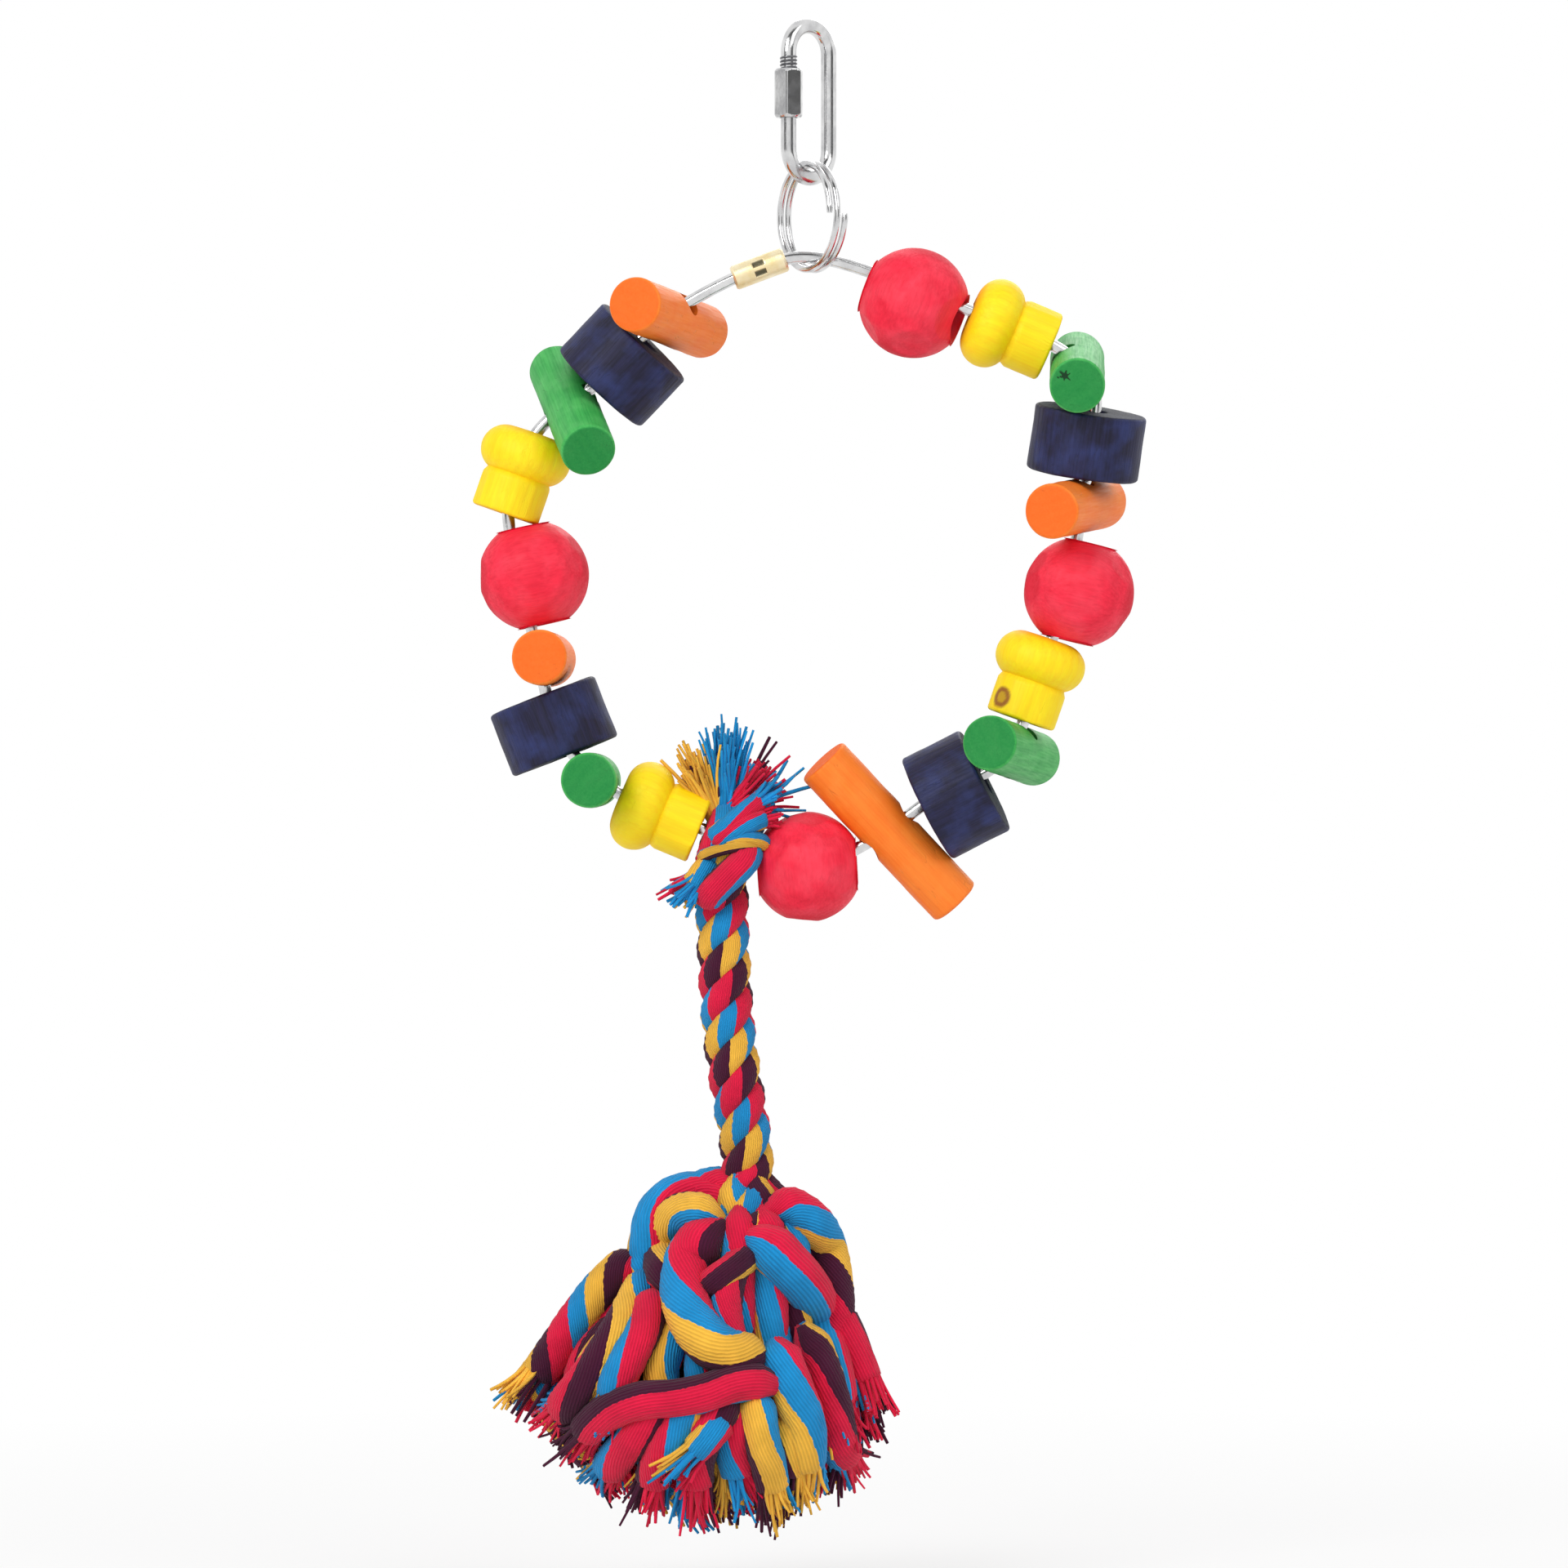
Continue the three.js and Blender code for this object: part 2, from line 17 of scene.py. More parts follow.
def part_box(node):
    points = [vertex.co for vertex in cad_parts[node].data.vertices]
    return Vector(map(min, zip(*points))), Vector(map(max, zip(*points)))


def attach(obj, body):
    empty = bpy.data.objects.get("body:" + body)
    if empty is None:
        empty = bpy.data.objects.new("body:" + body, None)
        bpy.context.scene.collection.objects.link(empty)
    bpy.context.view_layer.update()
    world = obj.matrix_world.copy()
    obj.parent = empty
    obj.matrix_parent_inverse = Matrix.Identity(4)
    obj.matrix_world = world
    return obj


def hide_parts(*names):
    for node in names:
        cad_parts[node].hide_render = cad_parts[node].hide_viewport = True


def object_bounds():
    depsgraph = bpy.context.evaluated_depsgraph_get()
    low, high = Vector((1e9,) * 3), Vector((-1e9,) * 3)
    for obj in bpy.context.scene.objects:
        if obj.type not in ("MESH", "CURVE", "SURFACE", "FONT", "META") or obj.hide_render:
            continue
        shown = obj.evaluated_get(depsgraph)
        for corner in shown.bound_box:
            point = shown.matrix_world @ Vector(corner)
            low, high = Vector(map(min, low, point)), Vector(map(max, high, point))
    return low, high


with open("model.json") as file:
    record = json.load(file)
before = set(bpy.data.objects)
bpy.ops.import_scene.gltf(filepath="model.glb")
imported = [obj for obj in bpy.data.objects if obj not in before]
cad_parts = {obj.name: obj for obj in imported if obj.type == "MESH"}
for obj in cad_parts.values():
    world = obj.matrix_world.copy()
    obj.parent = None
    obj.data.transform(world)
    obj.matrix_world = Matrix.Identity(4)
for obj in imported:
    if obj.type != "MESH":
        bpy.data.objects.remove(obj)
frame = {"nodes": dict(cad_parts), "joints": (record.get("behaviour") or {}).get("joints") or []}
cad_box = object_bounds()
scene = bpy.context.scene
JOINTS = {joint["child"]: joint for joint in frame["joints"]}
MM = 0.001
print("pieces in the frame:", len(frame["nodes"]), "joints:", len(JOINTS))

# %% [markdown]
# ## Camera, floor and light
# The photograph looks straight at the front of the hoop from a distance, so the camera gets a long lens. The
# background is white paper. A pale floor and a white world give that, and large soft lamps keep the colours
# close to how they are written. Bright metal shows what stands round it: the white paper behind and beside
# it, and a band of dark room on either side of the camera, which draws the dark lines on every wire.

# %% Camera
VIEW_WIDTH = 355.6 * MM
VIEW_MIDDLE = Vector((-5.6 * MM, 0, -170.2 * MM))
VIEW_DISTANCE = 1.6
SENSOR = 36

camera = bpy.data.objects.new("camera", bpy.data.cameras.new("camera"))
camera.data.sensor_width = SENSOR
camera.data.lens = SENSOR * VIEW_DISTANCE / VIEW_WIDTH
camera.location = VIEW_MIDDLE - Vector((0, VIEW_DISTANCE, 0))
camera.rotation_euler = (math.pi / 2, 0, 0)
scene.collection.objects.link(camera)
scene.camera = camera
print("lens, mm:", round(camera.data.lens))

# %% A helper that adds nodes and wires them by name
class NodeMaker:
    def __init__(self, tree):
        self.tree = tree

    def add(self, kind, inputs=None, **settings):
        node = self.tree.nodes.new(kind)
        for key, value in settings.items():
            setattr(node, key, value)
        for key, value in (inputs or {}).items():
            if isinstance(value, bpy.types.NodeSocket):
                self.tree.links.new(value, node.inputs[key])
            else:
                node.inputs[key].default_value = value
        return node

    def math(self, operation, *values):
        return self.add("ShaderNodeMath", dict(enumerate(values)), operation=operation).outputs[0]

    def vector(self, operation, *values):
        node = self.add("ShaderNodeVectorMath", dict(enumerate(values)), operation=operation)
        return node.outputs["Value" if operation in ("LENGTH", "DOT_PRODUCT") else "Vector"]

    def scaled(self, vector, factor):
        node = self.add("ShaderNodeVectorMath", {0: vector, "Scale": factor}, operation="SCALE")
        return node.outputs["Vector"]

    def mix(self, factor, first, second, blend="MIX"):
        sockets = {0: factor, 6: first, 7: second}
        node = self.add("ShaderNodeMix", sockets, data_type="RGBA", blend_type=blend)
        return node.outputs[2]

    def noise(self, place, scale, detail, **settings):
        sockets = {"Vector": place, "Scale": scale, "Detail": detail, **settings}
        return self.add("ShaderNodeTexNoise", sockets).outputs["Fac"]

    def remap(self, value, low, high, to_low=0.0, to_high=1.0):
        sockets = {0: value, 1: low, 2: high, 3: to_low, 4: to_high}
        return self.add("ShaderNodeMapRange", sockets).outputs[0]


def srgb(red, green, blue):
    """A colour as a paint chart gives it, 0 to 255, as the linear light that the shader wants."""
    def linear(part):
        part /= 255
        return part / 12.92 if part <= 0.04045 else ((part + 0.055) / 1.055) ** 2.4
    return (linear(red), linear(green), linear(blue), 1)


# %% White world, pale floor and soft lamps
FLOOR_BELOW = 14 * MM
FLOOR_SIZE = 8
SHADOW_REACH = (0.36, 0.62)
WORLD_LIGHT = 0.55
DARK_ROOM = 0.1
ROOM_WALL = -0.6
ROOM_EDGE = (0.15, 0.35)
SHADOW_GLOW = 0.6
WHITE = (1, 1, 1, 1)
PALE_GREY = (0.86, 0.86, 0.86, 1)
LAMPS = {
    "key": {"place": (-0.9, -1.3, 0.75), "size": 0.9, "power": 16},
    "fill": {"place": (1.0, -1.1, 0.95), "size": 1.2, "power": 9},
    "back": {"place": (0.3, 1.3, 0.7), "size": 1.0, "power": 8},
}


def seen_rays(nodes):
    """One for rays that show the background: straight to the eye, off metal or through glass."""
    path = nodes.add("ShaderNodeLightPath").outputs
    seen = nodes.math("MAXIMUM", path["Is Camera Ray"], path["Is Glossy Ray"])
    return nodes.math("MAXIMUM", seen, path["Is Transmission Ray"])


world = bpy.data.worlds.new("white_paper")
world.use_nodes = True
scene.world = world
world_nodes = NodeMaker(world.node_tree)
ray_way = world_nodes.add("ShaderNodeTexCoord").outputs["Generated"]
towards = world_nodes.add("ShaderNodeSeparateXYZ", {0: ray_way}).outputs["Y"]
from_wall = world_nodes.math("ABSOLUTE", world_nodes.math("SUBTRACT", towards, ROOM_WALL))
room = world_nodes.remap(from_wall, *ROOM_EDGE, DARK_ROOM, 1)
glossy = world_nodes.add("ShaderNodeLightPath").outputs["Is Glossy Ray"]
shown = world_nodes.remap(glossy, 0, 1, 1, room)
world_strength = world_nodes.remap(seen_rays(world_nodes), 0, 1, WORLD_LIGHT, shown)
world_light = world.node_tree.nodes["Background"]
world_light.inputs["Color"].default_value = WHITE
world.node_tree.links.new(world_strength, world_light.inputs["Strength"])

paper = bpy.data.materials.new("pale_floor")
paper.use_nodes = True
paper_nodes = NodeMaker(paper.node_tree)
paper.node_tree.nodes.clear()
paper_matte = paper_nodes.add("ShaderNodeBsdfDiffuse", {"Color": PALE_GREY})
paper_glow = paper_nodes.add("ShaderNodeEmission", {"Color": WHITE, "Strength": 1.0})
paper_place = paper_nodes.add("ShaderNodeTexCoord").outputs["Object"]
paper_away = paper_nodes.vector("LENGTH", paper_place)
paper_far = paper_nodes.remap(paper_away, *SHADOW_REACH, SHADOW_GLOW, 1)
paper_share = paper_nodes.math("MULTIPLY", seen_rays(paper_nodes), paper_far)
paper_mix = paper_nodes.add("ShaderNodeMixShader", {0: paper_share, 1: paper_matte.outputs[0],
                                                    2: paper_glow.outputs[0]})
paper_nodes.add("ShaderNodeOutputMaterial", {"Surface": paper_mix.outputs[0]})

floor_height = cad_box[0][2] - FLOOR_BELOW
floor_mesh = bpy.data.meshes.new("floor")
half = FLOOR_SIZE / 2
floor_plan = [(-half, -half), (half, -half), (half, half), (-half, half)]
floor_corners = [(x, y, floor_height) for x, y in floor_plan]
floor_mesh.from_pydata(floor_corners, [], [(0, 1, 2, 3)])
floor_mesh.materials.append(paper)
floor = bpy.data.objects.new("floor", floor_mesh)
scene.collection.objects.link(floor)

for lamp_name, lamp in LAMPS.items():
    light = bpy.data.lights.new(lamp_name, "AREA")
    light.size = lamp["size"]
    light.energy = lamp["power"]
    lamp_object = bpy.data.objects.new(lamp_name, light)
    lamp_object.location = lamp["place"]
    aim = VIEW_MIDDLE - Vector(lamp["place"])
    lamp_object.rotation_euler = aim.to_track_quat("-Z", "Y").to_euler()
    scene.collection.objects.link(lamp_object)
scene.view_settings.view_transform = "Standard"
print("lamps:", ", ".join(LAMPS))

# %% [markdown]
# ## Tools for things that follow a path
# The rope, its strands, the loose threads and every wire of this toy are a round section along a path.
# Geometry Nodes make them all: a script draws each path as a row of points, and a tree sweeps a section
# along it. The finished mesh is then stored plainly, so nothing depends on the modifier later.

# %% Paths as rows of points, and trees that grow meshes from them
def path_mesh(name, paths, **marks):
    """Rows of points as loose edges. Each mark holds one value, or one value for each point, per path."""
    mesh = bpy.data.meshes.new(name)
    points = np.concatenate(paths)
    edges = []
    start = 0
    for path in paths:
        edges += [(start + i, start + i + 1) for i in range(len(path) - 1)]
        start += len(path)
    mesh.from_pydata(points.tolist(), edges, [])
    for mark, values in marks.items():
        spread = [np.broadcast_to(np.asarray(v, float), len(p)) for v, p in zip(values, paths)]
        layer = mesh.attributes.new(mark, "FLOAT", "POINT")
        layer.data.foreach_set("value", np.concatenate(spread).astype(np.float32))
    return mesh


def geometry_tree(name, inputs):
    tree = bpy.data.node_groups.new(name, "GeometryNodeTree")
    tree.interface.new_socket("Geometry", in_out="INPUT", socket_type="NodeSocketGeometry")
    for label, kind in inputs.items():
        tree.interface.new_socket(label, in_out="INPUT", socket_type=f"NodeSocket{kind}")
    tree.interface.new_socket("Geometry", in_out="OUTPUT", socket_type="NodeSocketGeometry")
    return NodeMaker(tree), tree.nodes.new("NodeGroupInput").outputs


def finish_tree(nodes, geometry, material):
    smooth = nodes.add("GeometryNodeSetShadeSmooth", {"Geometry": geometry})
    real = nodes.add("GeometryNodeRealizeInstances", {"Geometry": smooth.outputs[0]})
    painted = nodes.add("GeometryNodeSetMaterial", {"Geometry": real.outputs[0], "Material": material})
    nodes.add("NodeGroupOutput", {"Geometry": painted.outputs[0]})
    return nodes.tree


def grown(name, start_mesh, tree, **values):
    """Runs a tree on a mesh and keeps the plain result as an object at the origin."""
    piece = bpy.data.objects.new(name, start_mesh)
    scene.collection.objects.link(piece)
    modifier = piece.modifiers.new(tree.name, "NODES")
    modifier.node_group = tree
    for socket in tree.interface.items_tree:
        if socket.in_out == "INPUT" and socket.name in values:
            modifier[socket.identifier] = values[socket.name]
    ready = piece.evaluated_get(bpy.context.evaluated_depsgraph_get())
    mesh = bpy.data.meshes.new_from_object(ready)
    piece.modifiers.remove(modifier)
    piece.data = mesh
    mesh.name = name
    print(name, "faces:", len(mesh.polygons))
    return piece


def named(nodes, name, kind="FLOAT"):
    return nodes.add("GeometryNodeInputNamedAttribute", {"Name": name}, data_type=kind).outputs["Attribute"]


def stored(nodes, geometry, name, value, kind="FLOAT", domain="POINT"):
    node = nodes.add("GeometryNodeStoreNamedAttribute", {"Geometry": geometry, "Name": name},
                     data_type=kind, domain=domain)
    nodes.tree.links.new(value, node.inputs["Value"])
    return node.outputs[0]


def smooth_path(points, steps, closed=False):
    """A centripetal curve through the points, as the bent wire and the rope follow it."""
    points = np.asarray(points, float)
    count = len(points)
    if not closed:
        ends = [2 * points[0] - points[1], 2 * points[-1] - points[-2]]
        points = np.vstack([ends[0], points, ends[1]])
    result = []
    for i in range(count if closed else count - 1):
        first = i - 1 if closed else i
        p0, p1, p2, p3 = (points[(first + k) % len(points)] for k in range(4))
        d0, d1, d2 = (max(np.linalg.norm(b - a), 1e-9) ** 0.5 for a, b in ((p0, p1), (p1, p2), (p2, p3)))
        m1 = ((p1 - p0) / d0 - (p2 - p0) / (d0 + d1) + (p2 - p1) / d1) * d1
        m2 = ((p2 - p1) / d1 - (p3 - p1) / (d1 + d2) + (p3 - p2) / d2) * d1
        for t in np.arange(steps) / steps:
            a, b = 2 * t ** 3 - 3 * t ** 2 + 1, t ** 3 - 2 * t ** 2 + t
            c, d = 3 * t ** 2 - 2 * t ** 3, t ** 3 - t ** 2
            result.append(a * p1 + b * m1 + c * p2 + d * m2)
    result.append(result[0] if closed else points[-2])
    return np.array(result)


def even_path(points, spacing):
    """The same path with points at even distances."""
    lengths = np.concatenate([[0], np.cumsum(np.linalg.norm(np.diff(points, axis=0), axis=1))])
    count = max(2, int(round(lengths[-1] / spacing)) + 1)
    places = np.linspace(0, lengths[-1], count)
    return np.column_stack([np.interp(places, lengths, points[:, k]) for k in range(3)])


# %% [markdown]
# ## Cotton
# Each strand of the rope is a bundle of dyed yarns: yellow, blue, red and maroon. On the rope the yarns run
# almost straight down, and on a loose strand they wind slowly round it. So every strand keeps, at each
# point, the angle of the yarn that is there. The material turns that angle into a dye, and the same material
# serves the rope, the knot and the frayed threads.

# %% The dyed cotton material
YARN_DYES = [
    (0.00, srgb(244, 186, 66)),
    (0.23, srgb(24, 142, 206)),
    (0.46, srgb(226, 22, 66)),
    (0.76, srgb(70, 14, 46)),
]
YARNS_PER_STRAND = 12
LINES_PER_YARN = 3
LINE_HEIGHT = 0.5
FUZZ_SCALE = 900
PATCH_SCALE = 140
RAGGED_EDGE = 0.006
# Colour in the grooves between the yarn lines and on their tops: painted shade in the grooves, a little
# painted light on the tops
GROOVE_SHADE_RANGE = (0.82, 1.05)
PATCH_SHADE = (-0.12, 0.1)
YARN_BUMP = 0.25 * MM


def bumped(nodes, height, distance, strength=1.0):
    sockets = {"Height": height, "Distance": distance, "Strength": strength}
    return nodes.add("ShaderNodeBump", sockets).outputs[0]


def new_material(name, **settings):
    """A material with its main shader, whose plain values are set on the shader's own sockets."""
    material = bpy.data.materials.new(name)
    material.use_nodes = True
    shader = material.node_tree.nodes["Principled BSDF"]
    for socket, value in settings.items():
        shader.inputs[socket.replace("_", " ")].default_value = value
    return material, NodeMaker(material.node_tree), shader


def wire_up(nodes, shader, **sockets):
    for socket, value in sockets.items():
        nodes.tree.links.new(value, shader.inputs[socket.replace("_", " ")])


def cotton_material():
    material, nodes, shader = new_material("dyed_cotton", Roughness=0.92, Sheen_Weight=0.08,
                                           Sheen_Roughness=0.6, Specular_IOR_Level=0.15)
    place = nodes.add("ShaderNodeTexCoord").outputs["Object"]
    fuzz = nodes.noise(place, FUZZ_SCALE, 4)
    patch = nodes.noise(place, PATCH_SCALE, 2)
    yarn = nodes.add("ShaderNodeAttribute", attribute_name="yarn").outputs["Vector"]
    parts = nodes.add("ShaderNodeSeparateXYZ", {0: yarn}).outputs
    turn = nodes.math("ARCTAN2", parts["Y"], parts["X"])
    share = nodes.math("DIVIDE", turn, 2 * math.pi)
    ragged = nodes.math("ADD", share, nodes.remap(fuzz, 0.3, 0.7, -RAGGED_EDGE, RAGGED_EDGE))
    ramp = nodes.add("ShaderNodeValToRGB", {"Fac": nodes.math("FRACT", ragged)})
    ramp.color_ramp.interpolation = "CONSTANT"
    stops = ramp.color_ramp.elements
    for index, (place_on_ramp, dye) in enumerate(YARN_DYES):
        stop = stops[index] if index < 2 else stops.new(place_on_ramp)
        stop.position = place_on_ramp
        stop.color = dye
    # The yarn lines set the bump and the colour together: darker in the grooves, painted shade, and slightly
    # lighter on the tops, painted light
    lines = nodes.math("SINE", nodes.math("MULTIPLY", turn, YARNS_PER_STRAND * LINES_PER_YARN))
    uneven = nodes.remap(patch, 0.3, 0.7, *PATCH_SHADE)
    shade = nodes.math("ADD", nodes.remap(lines, -1, 1, *GROOVE_SHADE_RANGE), uneven)
    colour = nodes.scaled(ramp.outputs["Color"], shade)
    height = nodes.math("ADD", nodes.math("MULTIPLY", lines, LINE_HEIGHT), fuzz)
    wire_up(nodes, shader, Base_Color=colour, Normal=bumped(nodes, height, YARN_BUMP, 0.7))
    return material


COTTON = cotton_material()
print("cotton dyes:", len(YARN_DYES))

# %% The tree that lays strands into a rope, or leaves one strand alone
def strand_tree():
    nodes, given = geometry_tree("cotton_strands", {
        "Strands": "Int", "Lay Radius": "Float", "Lay Length": "Float", "Strand Radius": "Float",
        "Sides": "Int", "Ridge Depth": "Float", "Wrap": "Float", "Face Front": "Bool",
        "Material": "Material"})
    curve = nodes.add("GeometryNodeMeshToCurve", {"Mesh": given["Geometry"]})
    copies = nodes.add("GeometryNodeDuplicateElements",
                       {"Geometry": curve.outputs[0], "Amount": given["Strands"]}, domain="SPLINE")
    number = nodes.math("DIVIDE", copies.outputs["Duplicate Index"], given["Strands"])
    rope = stored(nodes, copies.outputs["Geometry"], "strand", number, domain="CURVE")
    length = nodes.add("GeometryNodeSplineParameter").outputs["Length"]
    rope = stored(nodes, rope, "along", length)
    normal = nodes.add("GeometryNodeInputNormal").outputs["Normal"]
    tangent = nodes.add("GeometryNodeInputTangent").outputs[0]
    side = nodes.vector("CROSS_PRODUCT", tangent, normal)
    lays = nodes.math("DIVIDE", named(nodes, "along"), given["Lay Length"])
    turns = nodes.math("ADD", lays, named(nodes, "strand"))
    angle = nodes.math("MULTIPLY", turns, 2 * math.pi)
    offset = nodes.vector("ADD", nodes.scaled(normal, nodes.math("COSINE", angle)),
                          nodes.scaled(side, nodes.math("SINE", angle)))
    moved = nodes.add("GeometryNodeSetPosition",
                      {"Geometry": rope, "Offset": nodes.scaled(offset, given["Lay Radius"])})
    laid = stored(nodes, moved.outputs[0], "heading", tangent, "FLOAT_VECTOR")
    section = nodes.add("GeometryNodeCurvePrimitiveCircle",
                        {"Resolution": given["Sides"], "Radius": given["Strand Radius"]})
    corner = nodes.math("DIVIDE", nodes.add("GeometryNodeInputIndex").outputs[0], given["Sides"])
    profile = stored(nodes, section.outputs["Curve"], "corner", corner)
    tube = nodes.add("GeometryNodeCurveToMesh", {"Curve": laid, "Profile Curve": profile,
                                                 "Scale": named(nodes, "swell"), "Fill Caps": True})
    heading = named(nodes, "heading", "FLOAT_VECTOR")
    beside = nodes.vector("NORMALIZE", nodes.vector("CROSS_PRODUCT", heading, (0, -1, 0)))
    ahead = nodes.vector("CROSS_PRODUCT", beside, heading)
    outward = nodes.add("GeometryNodeInputNormal").outputs["Normal"]
    facing = nodes.math("ARCTAN2", nodes.vector("DOT_PRODUCT", outward, beside),
                        nodes.vector("DOT_PRODUCT", outward, ahead))
    seen = nodes.math("DIVIDE", facing, 2 * math.pi)
    choice = {"Switch": given["Face Front"], "False": named(nodes, "corner"), "True": seen}
    round_turn = nodes.add("GeometryNodeSwitch", choice, input_type="FLOAT").outputs[0]
    wound = nodes.math("ADD", nodes.math("MULTIPLY", round_turn, given["Wrap"]),
                       nodes.math("MULTIPLY", named(nodes, "along"), named(nodes, "rate")))
    wound = nodes.math("ADD", nodes.math("MULTIPLY", wound, named(nodes, "hand")), named(nodes, "phase"))
    turn = nodes.math("MULTIPLY", wound, 2 * math.pi)
    yarn = nodes.add("ShaderNodeCombineXYZ", {
        "X": nodes.math("COSINE", turn), "Y": nodes.math("SINE", turn), "Z": named(nodes, "along")})
    skin = stored(nodes, tube.outputs[0], "yarn", yarn.outputs[0], "FLOAT_VECTOR")
    ridge = nodes.math("COSINE", nodes.math("MULTIPLY", turn, YARNS_PER_STRAND))
    lift = nodes.scaled(nodes.add("GeometryNodeInputNormal").outputs["Normal"],
                        nodes.math("MULTIPLY", ridge, given["Ridge Depth"]))
    ridged = nodes.add("GeometryNodeSetPosition", {"Geometry": skin, "Offset": lift})
    return finish_tree(nodes, ridged.outputs[0], given["Material"])


STRAND_TREE = strand_tree()


def strands(name, paths, radius, phases, rates, hands=None, swells=None, sides=36, ridge=0.12 * MM,
            lay=(1, 0.0, 1.0), wrap=1.0, front=False):
    """Paths as cotton. Phase is the dye at the start, rate how many turns the yarns make in a metre, and
    hand the order of the dyes: 1 or -1."""
    count, lay_radius, lay_length = lay
    plain = [1.0] * len(paths)
    mesh = path_mesh(name, paths, phase=phases, rate=rates, hand=hands or [-v for v in plain],
                     swell=swells or plain)
    return grown(name, mesh, STRAND_TREE, **{
        "Strands": count, "Lay Radius": lay_radius, "Lay Length": lay_length, "Strand Radius": radius,
        "Sides": sides, "Ridge Depth": ridge, "Wrap": wrap, "Face Front": front, "Material": COTTON})


def dress(piece, body, slot, *nodes):
    """Says which body a piece moves with and which measured nodes it stands for. The slot, its finish, is
    not used.
    """
    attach(piece, body)
    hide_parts(*nodes)


# %% [markdown]
# ## The rope
# Three strands are laid round each other, rising to the right. The rope leaves the hitch on the hoop, hangs
# with a slight sway and goes into the knot of the tassel. It comes first because its real length decides
# where the tassel hangs.

# %% The rope and its measured path
ROPE_DIAMETER = 12.2 * MM
ROPE_DROP = 66 * MM
ROPE_TUCK = 5 * MM
ROPE_SWAY = [(-1, 0), (-1, 0.1), (0.6, 0.5), (4.5, 0.9), (4.5, 1)]
INTO_KNOT = [(0.8, -4, -6), (1.6, -9, -12.5)]
HITCH_RADIUS = 10.5 * MM
SEAT_GAP = 0.3 * MM
ROPE_LAY = 22.2 * MM
ROPE_STRAND = 3.25 * MM
ROPE_DYE = 0.94
ROPE_STEP = 0.8 * MM
STRAND_RIDGE = 0.16 * MM

hitch_joint = JOINTS["rope"]
HITCH = np.array(hitch_joint["pos_m"])
rope_top = HITCH[2] - HITCH_RADIUS - SEAT_GAP
rope_points = [(HITCH[0] + x * MM, 0, rope_top - share * ROPE_DROP) for x, share in ROPE_SWAY]
rope_points.insert(0, (rope_points[0][0], 0, rope_top + ROPE_TUCK))
rope_points += [(rope_points[-1][0] + x * MM, y * MM, rope_points[-1][2] + z * MM) for x, y, z in INTO_KNOT]
rope_path = even_path(smooth_path(rope_points, 12), ROPE_STEP)
rope = strands("rope_drop", [rope_path], ROPE_STRAND, [ROPE_DYE], [1 / ROPE_LAY],
               lay=(3, ROPE_DIAMETER / 2 - ROPE_STRAND, ROPE_LAY), front=True)
dress(rope, "rope", "cotton_rope", "rope")

# %% [markdown]
# ## The tassel
# Below the knot the rope is opened: its strands loop over the knot, fan out on all sides and end in brushes
# of loose yarn. Each front strand is drawn through a few points seen from the front. Its depth comes from
# the measured form of the tassel, so it lies on the round of the bundle. The strands at the back follow the
# same form at even angles.

# %% The measured form of the tassel, and strands that lie on it
# Depth below the top, middle, half width and half depth, in millimetres
TASSEL_FORM = np.array([
    (0, 0, 8, 8), (2.5, 0, 16, 14), (8, -0.5, 21.5, 18), (17, -1.5, 22.5, 19.5), (27, -6, 27, 23),
    (34.3, -12, 33.5, 29), (44.8, -12.8, 39, 33), (55.8, -9.5, 36.5, 31), (66.8, -6.5, 29, 25),
    (75.3, -3, 20, 18), (80.8, 0, 10, 10)])
